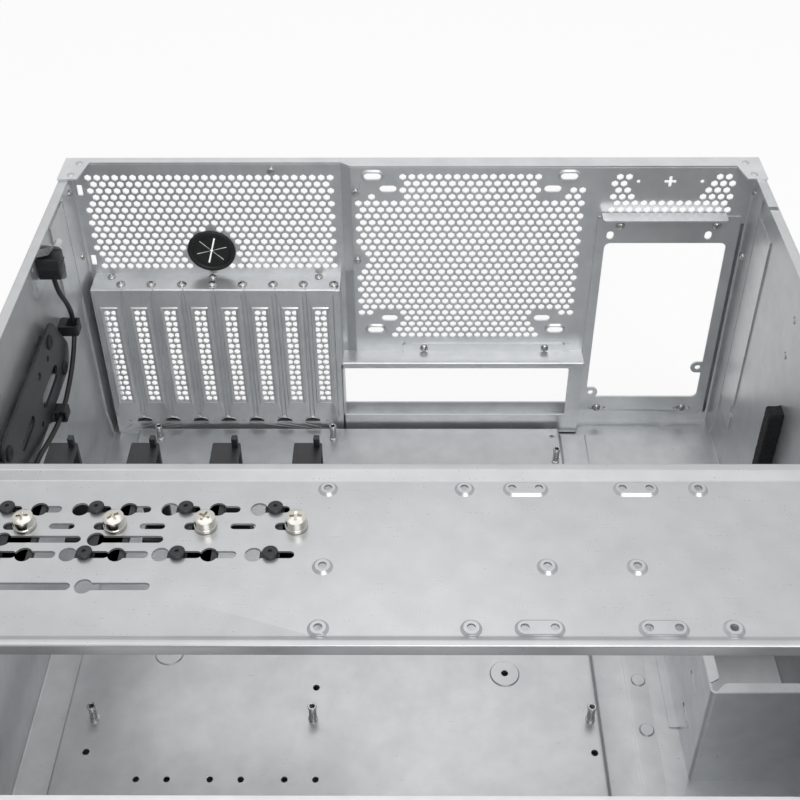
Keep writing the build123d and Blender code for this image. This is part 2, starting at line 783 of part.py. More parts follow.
# Dark plate on rubber mounts on the left wall
plate_x = -inner_x + 4.0
with BuildPart() as side_plate:
    with BuildSketch(Plane.YZ.offset(plate_x)):
        with BuildLine():
            Polyline(
                (vent_y - 96, 172.0),
                (vent_y - 198, 172.0),
                (vent_y - 206, 160.0),
                (vent_y - 206, 126.0),
                (vent_y - 84, 126.0),
                (vent_y - 76, 138.0),
                close=True,
            )
        make_face()
        with Locations((vent_y - 120, 142.0)):
            slot_shape(34.0, 10.0, mode=Mode.SUBTRACT)
    extrude(amount=1.5)
keep(side_plate, "side_plate")
with BuildPart() as side_plate_grommets:
    for y, z in ((vent_y - 92, 132.0), (vent_y - 106, 164.0), (vent_y - 196, 162.0), (vent_y - 196, 132.0)):
        with BuildSketch(Plane.YZ.offset(-inner_x)):
            with Locations((y, z)):
                round_shape(4.0)
        extrude(amount=plate_x + inner_x)
        with BuildSketch(Plane.YZ.offset(plate_x + 1.5)):
            with Locations((y, z)):
                round_shape(4.6)
        extrude(amount=1.2)
keep(side_plate_grommets, "side_plate_grommets")

# Foam block on the right wall
with BuildPart() as foam_block:
    with BuildSketch(Plane.XY.offset(39.0)):
        with Locations((inner_x - 4.5, vent_y - 127.0)):
            Rectangle(9.0, 9.6)
    extrude(amount=90)
keep(foam_block, "foam_block")

# Drive cage: open box against the right wall
cage_left = inner_x - 66.8
cage_front = vent_y - 287.5
cage_rear = vent_y - 160.0
cage_top = 85.6
with BuildPart() as drive_cage:
    with BuildSketch(Plane.XY.offset(sheet)):
        with BuildLine():
            Polyline(
                (inner_x, cage_rear),
                (cage_left, cage_rear),
                (cage_left, cage_front),
                (inner_x, cage_front),
            )
            offset(amount=sheet, side=Side.LEFT)
        make_face()
    extrude(amount=cage_top - sheet)
    cage_middle_x, cage_middle_y = (inner_x + cage_left) / 2, (cage_front + cage_rear) / 2
    with BuildSketch(Plane.XY.offset(cage_top)):
        with Locations((cage_middle_x, cage_middle_y)):
            Rectangle(inner_x - cage_left, cage_rear - cage_front)
            Rectangle(inner_x - cage_left - 13, cage_rear - cage_front - 13, mode=Mode.SUBTRACT)
    extrude(amount=-sheet)
    with BuildSketch(Plane.XY.offset(sheet)):
        with Locations((cage_left - 1.9, cage_middle_y + 12)):
            Rectangle(6.2, cage_rear - cage_front - 40)
    extrude(amount=sheet)
    with BuildSketch(Plane.YZ.offset(cage_left)):
        for z in (24.0, 54.0):
            with Locations((cage_middle_y, z)):
                with GridLocations(76.2, 0, 2, 1):
                    slot_shape(16.0, 4.0)
    extrude(amount=sheet, mode=Mode.SUBTRACT)
keep(drive_cage, "drive_cage")

# Fan bracket across the front, with three fan openings and a top flange
bracket_rear = front_y + 42.8
bracket_depth = 13.0
bracket_top = wall_top - sheet - 0.3
fan_opening_radius = 57.0
fan_opening_pitch = (case_width - 20.0) / 3
fan_hole_radius = 2.2
with BuildPart() as fan_bracket:
    with BuildSketch(Plane.YZ.offset(-inner_x)):
        with BuildLine():
            Polyline(
                (bracket_rear, bracket_top - 6),
                (bracket_rear, bracket_top),
                (bracket_rear - bracket_depth, bracket_top),
                (bracket_rear - bracket_depth, sheet),
                (bracket_rear, sheet),
            )
            offset(amount=sheet, side=Side.LEFT)
        make_face()
    extrude(amount=2 * inner_x)
    with BuildSketch(rear_plane(bracket_rear)):
        with Locations((0, case_height / 2)):
            with GridLocations(fan_opening_pitch, 0, 3, 1):
                round_shape(fan_opening_radius, 16)
                with GridLocations(fan_pitch_small, fan_pitch_small, 2, 2):
                    Circle(fan_hole_radius)
    extrude(amount=bracket_depth + 1, mode=Mode.SUBTRACT)
keep(fan_bracket, "fan_bracket")

# Front panel with rack ears, air field, buttons and status lights
panel_face = front_y - panel_sheet
panel_middle = case_height / 2
button_x = half_width - 44.0
button_z = case_height - 29.5
button_pitch = 20.0
power_radius = 5.5
reset_radius = 3.5
button_gap = 0.35
button_proud = 1.8
button_travel = 1.5
button_depth = 5.0
light_radius = 1.5
light_spots = ((button_x - 46.0, button_z), (button_x - 36.0, button_z))
handle_x = half_width - 22.0
with BuildPart() as front_panel:
    with BuildSketch(rear_plane(front_y)):
        with Locations((0, panel_middle)):
            Polygon(*cut_corners(ear_span, case_height, 2))
            for pitch_z in (ear_hole_pitch_z, ear_inner_pitch_z):
                with GridLocations(ear_hole_pitch_x, pitch_z, 2, 2):
                    SlotOverall(ear_slot_length, ear_slot_width, mode=Mode.SUBTRACT)
            with Locations(*staggered(330.0, 150.0, 54.0)):
                RegularPolygon(26.5, 6, rotation=30, mode=Mode.SUBTRACT)
        with Locations((button_x, button_z)):
            round_shape(power_radius + button_gap, 12, mode=Mode.SUBTRACT)
        with Locations((button_x - button_pitch, button_z)):
            round_shape(reset_radius + button_gap, 12, mode=Mode.SUBTRACT)
        with Locations(*light_spots):
            round_shape(light_radius, mode=Mode.SUBTRACT)
    extrude(amount=panel_sheet)
keep(front_panel, "front_panel")


def handle(x):
    """Round bar handle standing off the front panel."""
    with BuildPart() as bar:
        low, high = panel_middle - handle_span / 2, panel_middle + handle_span / 2
        out = panel_face - handle_reach + handle_radius
        bend = 7.0
        with BuildLine():
            Polyline(
                (x, panel_face, low),
                (x, out + bend, low),
                (x, out, low + bend),
                (x, out, high - bend),
                (x, out + bend, high),
                (x, panel_face, high),
            )
        with BuildSketch(Plane((x, panel_face, low), z_dir=(0, -1, 0))):
            round_shape(handle_radius)
        sweep(transition=Transition.RIGHT)
    return bar


keep(handle(-handle_x), "left_handle")
keep(handle(handle_x), "right_handle")
with BuildPart() as handle_screws:
    for x in (-handle_x, handle_x):
        for z in (panel_middle - handle_span / 2, panel_middle + handle_span / 2):
            head(4.0, 2.4, Plane((x, front_y, z), z_dir=(0, 1, 0)))
keep(handle_screws, "handle_screws")


def button(x, radius):
    """Round push button standing proud of the panel."""
    with BuildPart() as cap:
        with BuildSketch(rear_plane(front_y + button_depth)):
            with Locations((x, button_z)):
                round_shape(radius, 12)
        extrude(amount=button_depth + panel_sheet + button_proud)
    return cap


keep(button(button_x, power_radius), "power_button")
keep(button(button_x - button_pitch, reset_radius), "reset_button")
housing_depth = button_depth + button_travel + 3.0
with BuildPart() as button_housing:
    with BuildSketch(rear_plane(front_y + housing_depth)):
        with Locations((button_x - 19.0, button_z)):
            Rectangle(68.0, 20.0)
    extrude(amount=housing_depth)
    with BuildSketch(rear_plane(front_y + button_depth + button_travel + 0.5)):
        with Locations((button_x, button_z)):
            round_shape(power_radius + button_gap, 12)
        with Locations((button_x - button_pitch, button_z)):
            round_shape(reset_radius + button_gap, 12)
    extrude(amount=button_depth + button_travel + 0.5, mode=Mode.SUBTRACT)
keep(button_housing, "button_housing")
with BuildPart() as status_lights:
    with BuildSketch(rear_plane(front_y)):
        with Locations(*light_spots):
            round_shape(light_radius)
    extrude(amount=panel_sheet + 0.5)
keep(status_lights, "status_lights")
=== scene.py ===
import json
import math
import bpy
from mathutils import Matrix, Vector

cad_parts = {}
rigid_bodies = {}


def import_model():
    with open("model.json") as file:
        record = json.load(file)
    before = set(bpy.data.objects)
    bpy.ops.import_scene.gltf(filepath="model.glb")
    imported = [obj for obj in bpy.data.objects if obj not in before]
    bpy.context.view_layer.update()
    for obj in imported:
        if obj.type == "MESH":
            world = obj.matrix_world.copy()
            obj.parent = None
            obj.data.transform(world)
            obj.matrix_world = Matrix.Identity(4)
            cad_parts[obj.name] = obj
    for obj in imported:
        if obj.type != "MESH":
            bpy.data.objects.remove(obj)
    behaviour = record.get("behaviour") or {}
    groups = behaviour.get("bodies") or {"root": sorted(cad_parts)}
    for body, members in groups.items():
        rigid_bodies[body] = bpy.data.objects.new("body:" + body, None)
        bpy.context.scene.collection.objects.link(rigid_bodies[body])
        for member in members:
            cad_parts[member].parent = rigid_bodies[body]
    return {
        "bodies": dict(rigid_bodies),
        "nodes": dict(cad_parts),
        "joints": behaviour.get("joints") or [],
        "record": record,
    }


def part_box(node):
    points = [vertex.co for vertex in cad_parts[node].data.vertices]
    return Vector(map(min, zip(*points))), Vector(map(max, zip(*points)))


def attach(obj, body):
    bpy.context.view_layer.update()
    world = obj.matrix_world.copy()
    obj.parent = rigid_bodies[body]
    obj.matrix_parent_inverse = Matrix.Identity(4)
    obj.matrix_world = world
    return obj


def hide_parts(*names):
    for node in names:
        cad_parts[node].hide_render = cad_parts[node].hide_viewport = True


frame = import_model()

from types import SimpleNamespace

import bmesh
import bpy
from mathutils import Matrix, Vector, noise
from mathutils.geometry import delaunay_2d_cdt

mm = 0.001
bothSides = (-1, 1)
up, toFront, toRear = (0, 0, 1), (0, -1, 0), (0, 1, 0)
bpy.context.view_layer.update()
nodes = frame["nodes"]
scene = bpy.context.scene

# the case's main places in mm, the same as in the solids
plan = SimpleNamespace(
    ventY=244.2,          # inner face of the rear wall at the fan vent
    leftVentY=248.7,      # the left part stands a little further back
    rearY=254.8, frontY=-218.2, innerX=218.8, halfWidth=220.0, sheet=1.2, floorTop=1.2, wallTop=218.3, caseTop=219.5,
)
expansion = SimpleNamespace(firstX=-203.7, pitch=20.32, count=8)


# colour and node helpers

def toLinear(hexColour):
    values = [int(hexColour[i:i + 2], 16) / 255 for i in (1, 3, 5)]
    return tuple(v / 12.92 if v <= 0.04045 else ((v + 0.055) / 1.055) ** 2.4 for v in values) + (1.0,)


def grey(value):
    return (value, value, value, 1.0)


def addNode(tree, kind, settings=None, links=None, stops=()):
    # stops are the places and colours along a colour ramp
    node = tree.nodes.new(kind)
    for key, value in (settings or {}).items():
        if isinstance(key, str) and hasattr(node, key):
            setattr(node, key, value)
        else:
            node.inputs[key].default_value = value
    for key, source in (links or {}).items():
        tree.links.new(source, node.inputs[key])
    for number, (place, colour) in enumerate(stops):
        if number > 1:
            node.color_ramp.elements.new(1.0)
        element = node.color_ramp.elements[number]
        element.position, element.color = place, colour
    return node


def newMaterial(name):
    material = bpy.data.materials.new(name)
    material.use_nodes = True
    tree = material.node_tree
    tree.nodes.clear()
    shader = addNode(tree, "ShaderNodeBsdfPrincipled")
    out = addNode(tree, "ShaderNodeOutputMaterial", links={"Surface": shader.outputs[0]})
    return material, tree, shader, out


def newSurface(name, look):
    # a clouded colour, and a fine texture that moves both the gloss and the relief
    material, tree, shader, _ = newMaterial(name)
    place = addNode(tree, "ShaderNodeTexCoord").outputs["Object"]
    textures = {"grainMm": (place, 2.0, 0.5), "cloudMm": (place, 2.0, 0.5)}   # where from, detail and roughness
    if "rolling" in look:
        stretch = addNode(tree, "ShaderNodeMapping", {"Scale": look["rolling"]}, {"Vector": place})
        textures = {"lineMm": (stretch.outputs[0], 2.0, 0.5), "gritMm": (place, 2.0, 0.5),
                    "cloudMm": (place, 3.0, 0.55)}
    *fine, cloud = [addNode(tree, "ShaderNodeTexNoise", {"Scale": 1 / look[size] / mm, "Detail": detail,
                                                         "Roughness": roughness}, {"Vector": source}).outputs["Fac"]
                    for size, (source, detail, roughness) in textures.items()]
    if "rolling" in look:
        both = addNode(tree, "ShaderNodeMath", {"operation": "ADD"}, dict(enumerate(fine)))
        fine = addNode(tree, "ShaderNodeMath", {"operation": "MULTIPLY", 1: 0.5}, {0: both.outputs[0]}).outputs
    glossFrom, glossTo = look["glossSpan"]
    tint = addNode(tree, "ShaderNodeValToRGB", None, {0: cloud}, ((0.3, toLinear(look["dark"])),
                                                                  (0.7, toLinear(look["light"]))))
    gloss = addNode(tree, "ShaderNodeValToRGB", None, {0: fine[0]}, ((glossFrom, grey(look["smooth"])),
                                                                     (glossTo, grey(look["rough"]))))
    bump = addNode(tree, "ShaderNodeBump", {"Strength": look["bump"], "Distance": 0.05 * mm}, {"Height": fine[0]})
    for node, socket in ((tint, "Base Color"), (gloss, "Roughness"), (bump, "Normal")):
        tree.links.new(node.outputs[0], shader.inputs[socket])
    for socket in ("Metallic", "IOR"):
        if socket in look:
            shader.inputs[socket].default_value = look[socket]
    return material


steelLook = {
    "dark": "#C6C8CA", "light": "#D2D4D5", "Metallic": 0.68,
    "cloudMm": 14.0,           # patches of passivation a centimetre or two across
    "lineMm": 0.9,             # rolling lines, drawn coarser than real so that they show
    "gritMm": 0.7,
    "rolling": (0.06, 1.0, 1.0), "smooth": 0.27, "rough": 0.36, "glossSpan": (0.3, 0.7), "bump": 0.05,
}
# electro-galvanised sheet lying flat: cool grey, clouded, mirroring its surroundings in a soft blur
sheetSteel = newSurface("galvanisedSteelSheet", steelLook)
# the same sheet standing up, with its rolling lines upright, and painted a shade lighter: painted light on the upright
# faces
sheetSteelUprightPaintedLight = newSurface("galvanisedSteelUprightPaintedLight", dict(steelLook, dark="#D3D5D7", light="#DFE1E2",
                                                              rolling=(1.0, 1.0, 0.06)))
# the same sheet in the retainer bar: smoother, lines from side to side, and painted a shade darker: painted shade on
# the bar
sheetSteelAcrossPaintedShade = newSurface("galvanisedSteelAcrossPaintedShade", dict(steelLook, rolling=(0.05, 1.0, 1.0), dark="#BDBFC1",
                                                            light="#C5C7C8", rough=0.31, bump=0.02))
# zinc-plated screws, posts and handles: warm grey metal with small bright highlights
zincScrew = newSurface("zincPlatedScrewSteel", dict(steelLook, dark="#B9BABA", light="#D6D6D4", Metallic=1.0,
                                                    cloudMm=2.0, smooth=0.22, rough=0.34))
# nickel-plated clamping screws: the brightest metal, slightly yellow, with sharp reflections
nickel = newSurface("nickelPlatedSteel", dict(steelLook, dark="#D2CFC8", light="#E2DFD8", Metallic=1.0, cloudMm=3.0,
                                              smooth=0.14, rough=0.22, bump=0.02))
plasticLook = ("dark", "light", "cloudMm", "grainMm", "bump", "smooth", "rough", "IOR")
plastics = {
    # moulded switch, clips and hold-downs: near black, finely spark-eroded, a broad soft highlight
    "blackMouldedAbs": ("#1B1C1E", "#242528", 6.0, 0.35, 0.25, 0.38, 0.52, 1.53),
    # dark side plate: flat sheet, a little greyer and shinier
    "blackPolycarbonateSheet": ("#232527", "#2B2D30", 18.0, 0.5, 0.12, 0.30, 0.42, 1.58),
    # grommet and mounts: dull black rubber that hardly shines
    "blackNitrileRubber": ("#191A1B", "#222324", 5.0, 0.5, 0.3, 0.50, 0.66, 1.52),
    # foam bar: matt black with open cells that speckle it
    "blackPolyethyleneFoam": ("#17181A", "#2A2B2D", 1.6, 0.9, 0.8, 0.80, 0.95, 1.5),
    # sleeve of the lead: the blackest, with a thin line of light along it
    "blackPvcSleeve": ("#161617", "#1E1E20", 3.0, 0.3, 0.15, 0.35, 0.48, 1.53),
    # light guides: pale and glassy
    "clearAcrylicGuide": ("#D9DEDF", "#E4E8E8", 2.0, 0.5, 0.05, 0.08, 0.14, 1.49),
}
blackAbs, blackPolycarbonate, blackRubber, blackFoam, pvcSleeve, lightGuide = [
    newSurface(name, dict(zip(plasticLook, look), glossSpan=(0.35, 0.65))) for name, look in plastics.items()]
print("materials ready")

finishes = {
    "zinc_steel": sheetSteel, "screw_steel": zincScrew, "bright_steel": nickel, "black_plastic": blackAbs,
    "clear_plastic": lightGuide, "rubber": blackRubber, "lead_sleeve": pvcSleeve, "foam": blackFoam,
}
slotOf = {row["node"]: row["material_slot"] for row in frame["record"]["subparts"]}
bodyOf = {node: body for body, members in frame["record"]["behaviour"]["bodies"].items() for node in members}
for nodeName, thing in nodes.items():
    thing.data.materials.clear()
    thing.data.materials.append(finishes[slotOf[nodeName]])
for nodeName in ("left_stiffener", "right_stiffener"):
    nodes[nodeName].data.materials[0] = sheetSteelUprightPaintedLight


# pieces; a part is (vertices, faces) in mm

def linked(name, data):
    thing = bpy.data.objects.new(name, data)
    scene.collection.objects.link(thing)
    return thing


def declared(thing, node, replaces=True):
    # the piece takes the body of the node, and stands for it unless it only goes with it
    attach(thing, bodyOf[node])
    if replaces:
        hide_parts(node)
    return thing


def joined(parts):
    verts, faces = [], []
    for partVerts, partFaces in parts:
        base = len(verts)
        verts.extend(partVerts)
        faces.extend(tuple(base + i for i in face) for face in partFaces)
    return verts, faces


def finishPiece(name, parts, material, node, sharpDeg=32, replaces=True):
    verts, faces = joined(parts)
    mesh = bpy.data.meshes.new(name)
    mesh.from_pydata([Vector(v) * mm for v in verts], [], faces)
    mesh.validate()
    mesh.materials.append(material)
    mesh.polygons.foreach_set("use_smooth", [True] * len(mesh.polygons))
    mesh.set_sharp_from_angle(angle=math.radians(sharpDeg))
    return declared(linked(name, mesh), node, replaces)


# outlines

def circlePoints(x, y, radius, count=20, start=0.0):
    return [(x + radius * math.cos(start + 2 * math.pi * i / count),
             y + radius * math.sin(start + 2 * math.pi * i / count)) for i in range(count)]


def hexPoints(x, y, acrossFlats):
    return circlePoints(x, y, acrossFlats / math.sqrt(3), 6, math.pi / 6)   # a point at the top


def hexField(columns, rows, pitch, rowPitch, left, top, flats, keep=lambda x, z: True):
    spots = [(left + column * pitch + (pitch / 2 if row % 2 else 0), top - row * rowPitch)
             for row in range(rows) for column in range(columns)]
    return [hexPoints(x, z, flats) for x, z in spots if keep(x, z)]


def rectangle(left, low, right, high):
    return [(left, low), (right, low), (right, high), (left, high)]


def roundedRect(x, y, width, height, radius, count=5):
    points = []
    for cx, cy, start in ((1, 1, 0), (-1, 1, 90), (-1, -1, 180), (1, -1, 270)):
        for i in range(count):
            angle = math.radians(start + 90 * i / (count - 1))
            points.append((x + cx * (width / 2 - radius) + radius * math.cos(angle),
                           y + cy * (height / 2 - radius) + radius * math.sin(angle)))
    return points


def slotPoints(x, y, length, width, count=7, upright=False):
    radius, reach = width / 2, (length - width) / 2
    points = []
    for side in (1, -1):
        for i in range(count):
            angle = -math.pi / 2 + math.pi * i / (count - 1)
            points.append((side * (reach + radius * math.cos(angle)), side * radius * math.sin(angle)))
    return [(x - py, y + px) if upright else (x + px, y + py) for px, py in points]


def keyholePoints(x, y, roundRadius, slotWidth, reach):
    # round hole at x with a slot running to x + reach
    half = slotWidth / 2
    opening = math.asin(half / roundRadius)
    points = []
    for i in range(17):
        angle = opening + (2 * math.pi - 2 * opening) * i / 16
        points.append((x + roundRadius * math.cos(angle), y + roundRadius * math.sin(angle)))
    for i in range(7):
        angle = -math.pi / 2 + math.pi * i / 6
        points.append((x + reach - half + half * math.cos(angle), y + half * math.sin(angle)))
    return points


def crossPoints(half, arm):
    quarter = [(half, -arm), (half, arm), (arm, arm)]
    return [(x * c - y * s, x * s + y * c) for c, s in ((1, 0), (0, 1), (-1, 0), (0, -1)) for x, y in quarter]


def softPolygon(points, radius, steps=4):
    # the same outline with its corners rounded
    out = []
    for i, corner in enumerate(points):
        here, before, after = Vector(corner), Vector(points[i - 1]), Vector(points[(i + 1) % len(points)])
        start, end = [here + (other - here).normalized() * min(radius, (other - here).length / 2.1)
                      for other in (before, after)]
        for k in range(steps + 1):
            t = k / steps
            out.append(tuple(start * (1 - t) ** 2 + here * 2 * t * (1 - t) + end * t * t))
    return out


def laid(shapes, at):
    # the outlines moved to their places on the flat blank
    return [[at(*point) for point in shape] for shape in shapes]


def corners(centre, reach):
    return [(centre[0] + sx * reach, centre[1] + sz * reach) for sx in bothSides for sz in bothSides]


# sheets

def bentPath(points, radius, steps=5):
    # side view of a sheet with rounded bends: samples of (u, p, q, normalP, normalQ), and where it bends
    samples, bends, travelled = [], [], 0.0
    last = Vector(points[0])

    def put(point, direction):
        nonlocal travelled, last
        travelled += (point - last).length
        last = point
        samples.append((travelled, point.x, point.y, direction.y, -direction.x))

    for i, raw in enumerate(points):
        here = Vector(raw)
        if i in (0, len(points) - 1):
            a, b = (points[0], points[1]) if i == 0 else (points[-2], points[-1])
            put(here, (Vector(b) - Vector(a)).normalized())
            continue
        before = (here - Vector(points[i - 1])).normalized()
        after = (Vector(points[i + 1]) - here).normalized()
        turn = math.atan2(before.x * after.y - before.y * after.x, before.dot(after))
        back = radius * math.tan(abs(turn) / 2)
        start = here - before * back
        centre = start + Vector((-before.y, before.x)) * radius * (1 if turn > 0 else -1)
        for k in range(steps + 1):
            rotate = Matrix.Rotation(turn * k / steps, 2)
            put(centre + rotate @ (start - centre), rotate @ before)
            bends.append(travelled)
    return SimpleNamespace(samples=samples, bends=bends, end=travelled)


def along(fold, u):
    samples = fold.samples
    u = min(max(u, samples[0][0]), samples[-1][0])
    for a, b in zip(samples, samples[1:]):
        if u <= b[0] + 1e-9:
            share = 0 if b[0] == a[0] else (u - a[0]) / (b[0] - a[0])
            return [a[k] + (b[k] - a[k]) * share for k in range(1, 5)]
    return list(samples[-1][1:])


def uAt(fold, value, axis=0, lowest=-math.inf, highest=math.inf):
    # distance along the path where its p (axis 0) or q (axis 1) reaches a value
    for a, b in zip(fold.samples, fold.samples[1:]):
        low, high = a[1 + axis], b[1 + axis]
        reached = low != high and min(low, high) - 1e-6 <= value <= max(low, high) + 1e-6
        if reached and a[0] >= lowest and b[0] <= highest:
            return a[0] + (b[0] - a[0]) * (value - low) / (high - low)
    raise ValueError(f"{value} is not on the path")


def upright(p, q, v):
    # path seen from above, sheet standing up
    return p, q, v


def crosswise(p, q, v):
    # path seen from the side, sheet running from left to right
    return v, p, q


def lengthwise(p, q, v):
    # path seen from the front, sheet running from rear to front
    return p, -v, q


def addLoop(points, edges, shape):
    ring = list(range(len(points), len(points) + len(shape)))
    points.extend(Vector(p) for p in shape)
    edges.extend(zip(ring, ring[1:] + ring[:1]))
    return ring


def foldedSheet(outline, holes, fold, thick, place, press=None, rings=()):
    # a flat blank with its holes, folded along the path; place turns (p, q, v) into x, y, z
    points, edges, faces = [], [], []
    for number, shape in enumerate([outline] + list(holes) + list(rings)):
        turn = sum(a[0] * b[1] - b[0] * a[1] for a, b in zip(shape, shape[1:] + shape[:1]))
        ring = addLoop(points, edges, shape if turn > 0 else shape[::-1])
        if number <= len(holes):
            faces.append(ring)
    low, high = min(p[1] for p in outline) - 1, max(p[1] for p in outline) + 1
    for u in fold.bends:
        edges.append((len(points), len(points) + 1))
        points.extend((Vector((u, low)), Vector((u, high))))
    coords, _, triangles, _, _, origin = delaunay_2d_cdt(points, edges, faces, 1, 1e-4)
    kept = [t for t, o in zip(triangles, origin) if o and set(o) == {0}]
    used = sorted({i for t in kept for i in t})
    index = {old: new for new, old in enumerate(used)}
    front, back = [], []
    for u, v in (coords[i] for i in used):
        p, q, n, m = along(fold, u)
        rise = press(u, v) if press else 0.0
        front.append(place(p + n * rise, q + m * rise, v))
        back.append(place(p + n * (rise - thick), q + m * (rise - thick), v))
    count, out, border = len(used), [], {}
    for a, b, c in ([index[i] for i in t] for t in kept):
        out += [(a, b, c), (count + c, count + b, count + a)]
        border.update({pair: True for pair in ((a, b), (b, c), (c, a))})
    out += [(b, a, count + a, count + b) for a, b in border if (b, a) not in border]
    return front + back, out


def flatSheet(outline, holes, thick, place, press=None, rings=()):
    # place turns (a, height, b) into x, y, z, with height measured off the seen face
    far = 1000.0
    flat = SimpleNamespace(samples=[(-far, -far, 0.0, 0.0, 1.0), (far, far, 0.0, 0.0, 1.0)], bends=[])
    return foldedSheet(outline, holes, flat, thick, place, press, rings)


# solids

def ringSkin(rows):
    # a closed skin over rows of points, with both ends capped
    count = len(rows[0])
    verts = [point for row in rows for point in row]
    faces = [(low + i, low + (i + 1) % count, low + count + (i + 1) % count, low + count + i)
             for low in range(0, len(verts) - count, count) for i in range(count)]
    return verts, faces + [tuple(range(count - 1, -1, -1)), tuple(range(len(verts) - count, len(verts)))]


def turned(profile, count=28):
    # lathe a profile of (radius, height) about +Z
    return ringSkin([[(x, y, height) for x, y in circlePoints(0, 0, radius, count)] for radius, height in profile])


def tube(points, radius, count):
    # round bar along a smooth list of points in a plane across X
    path, rows = [Vector(p) for p in points], []
    sideways = Vector((1, 0, 0))
    for i, here in enumerate(path):
        heading = (path[min(i + 1, len(path) - 1)] - path[max(i - 1, 0)]).normalized()
        side = heading.cross(sideways).normalized()
        rows.append([here + (sideways * math.cos(a) + side * math.sin(a)) * radius
                     for a in (2 * math.pi * k / count for k in range(count))])
    return ringSkin(rows)


def aimed(part, at, axis=(0, 0, 1), swing=0.0, scale=1.0):
    # stands a piece made about +Z on a point, along an axis, turned about itself first
    spin = Matrix.Rotation(swing, 3, "Z")
    turn = Vector((0, 0, 1)).rotation_difference(Vector(axis)).to_matrix()
    return [turn @ (spin @ (Vector(v) * scale)) + Vector(at) for v in part[0]], part[1]


def prism(outline, thick, place):
    # a solid of that outline; place turns (a, b, height) into x, y, z
    count = len(outline)
    verts = [place(a, b, 0.0) for a, b in outline] + [place(a, b, thick) for a, b in outline]
    walls = [(i, (i + 1) % count, count + (i + 1) % count, count + i) for i in range(count)]
    return verts, [tuple(range(count - 1, -1, -1)), tuple(range(count, 2 * count))] + walls


def rounded(part, width, segments=2, angle=35):
    # rounds every edge that is sharper than the angle
    mesh = bmesh.new()
    made = [mesh.verts.new(v) for v in part[0]]
    for face in part[1]:
        mesh.faces.new([made[i] for i in face])
    bmesh.ops.recalc_face_normals(mesh, faces=mesh.faces)
    sharp = [e for e in mesh.edges if e.is_manifold and e.calc_face_angle(0) > math.radians(angle)]
    bmesh.ops.bevel(mesh, geom=sharp, offset=width, segments=segments, profile=0.5, affect="EDGES",
                    clamp_overlap=True)
    mesh.verts.index_update()
    out = [v.co.copy() for v in mesh.verts], [tuple(v.index for v in f.verts) for f in mesh.faces]
    mesh.free()
    return out


def softBlock(low, high, edge, segments=2):
    # a box between two corners with rounded edges
    return rounded(prism(rectangle(low[0], low[1], high[0], high[1]), high[2] - low[2],
                         lambda a, b, h: (a, b, low[2] + h)), edge, segments)


def crossHead(radius, height, rim, cross, depth, count=24):
    # domed head with a cross recess, standing on z = 0
    half, arm, bevel = cross[0] / 2, cross[1] / 2, 0.12 * cross[1]
    points, edges = [], []
    for shape in [circlePoints(0, 0, radius * share, count) for share in (1.0, 0.95, 0.84, 0.68)] + [
            crossPoints(half, arm), crossPoints(half - bevel, arm - bevel)]:
        addLoop(points, edges, shape)
    coords, _, triangles, _, _, _ = delaunay_2d_cdt(points, edges, [list(range(count))], 1, 1e-5)
    verts = []
    for x, y in coords:
        share = min(math.hypot(x, y) / radius, 1.0)
        near, far = sorted((abs(x), abs(y)))
        sunk = near < arm - bevel / 2 and far < half - bevel / 2
        verts.append((x, y, height - depth if sunk else rim + (height - rim) * (1 - share ** 2.6)))
    edge = sorted((i for i, c in enumerate(coords) if c.length > 0.999 * radius),
                  key=lambda i: math.atan2(coords[i].y, coords[i].x))
    low = len(verts)
    verts.extend((coords[i].x, coords[i].y, 0.0) for i in edge)
    faces = [tuple(t) for t in triangles]
    faces += [(low + k, low + (k + 1) % len(edge), edge[(k + 1) % len(edge)], i) for k, i in enumerate(edge)]
    return verts, faces + [tuple(range(len(verts) - 1, low - 1, -1))]


# rear wall
rearWall = {
    "bend": 1.6, "stepX": (-45.0, -39.0), "pitch": 5.73, "rowPitch": 4.96, "flats": 4.25,
    # columns, rows and the first hole of each vent
    "fanField": (27, 27, -34.4, 211.5), "leftField": (29, 15, -212.53, 208.3), "supplyField": (15, 6, 126.0, 211.4),
    "fan": (37.3, 150.2), "fanReach": (52.5, 62.25), "fanSlot": (11.0, 5.0), "fanClear": 6.3,
    "seatRise": 1.1, "grommet": (-133.5, 151.6), "grommetHole": 14.0, "grommetClear": 17.4,
    "clipHoles": (-215.1, -211.7, (199.0, 144.0)), "knockOut": (163.8, 208.1), "knockHoles": (143.6, 184.0),
    "frameOpening": ((-212.8, 2.4), (-46.8, 2.4), (118.8, 2.4), (118.8, 67.3), (-38.0, 67.3), (-38.0, 64.4),
                     (-48.6, 64.4), (-48.6, 131.2), (-212.8, 131.2)),
    "supplyOpening": (166.6, 97.3, 86.0, 151.6), "seam": (213.5, 9.0, 215.9, 176.0), "tab": (15.0, 12.2, 16.0),
    "studs": ((-36.1, 244.2, 201.1), (-36.1, 244.2, 147.8), (-89.3, 248.7, 214.6)),
    "stud": ((1.6, -1.0), (1.6, 2.0), (2.4, 2.1), (2.5, 2.8), (2.0, 3.3), (0.4, 3.5)),
}


def clearOfSlots(x, z, s):
    return all(math.hypot(max(abs(x - s.fan[0] - sx * reach) - 3.0, 0.0), z - s.fan[1] - sz * reach) >= s.fanClear
               for reach in s.fanReach for sx in bothSides for sz in bothSides)


def inFanField(x, z):
    # the square vent less its corners, with the few odd holes that the photo shows beside the slots
    if x > 110.5 or (x < -30.0 and 146.0 < z < 153.5) or (x < -33.0 and 140.0 < z < 146.0):
        return False
    if z > 192.5:
        odd = (z < 203.0 and x > 102.0) or (z < 198.0 and x > 97.0) or (z < 198.0 and -27.0 < x < -24.0)
        return -8.0 < x < 82.5 or odd
    return z > 103.0 or -13.0 < x < 87.0 or (z > 100.0 and (x < -28.0 or x > 102.0))


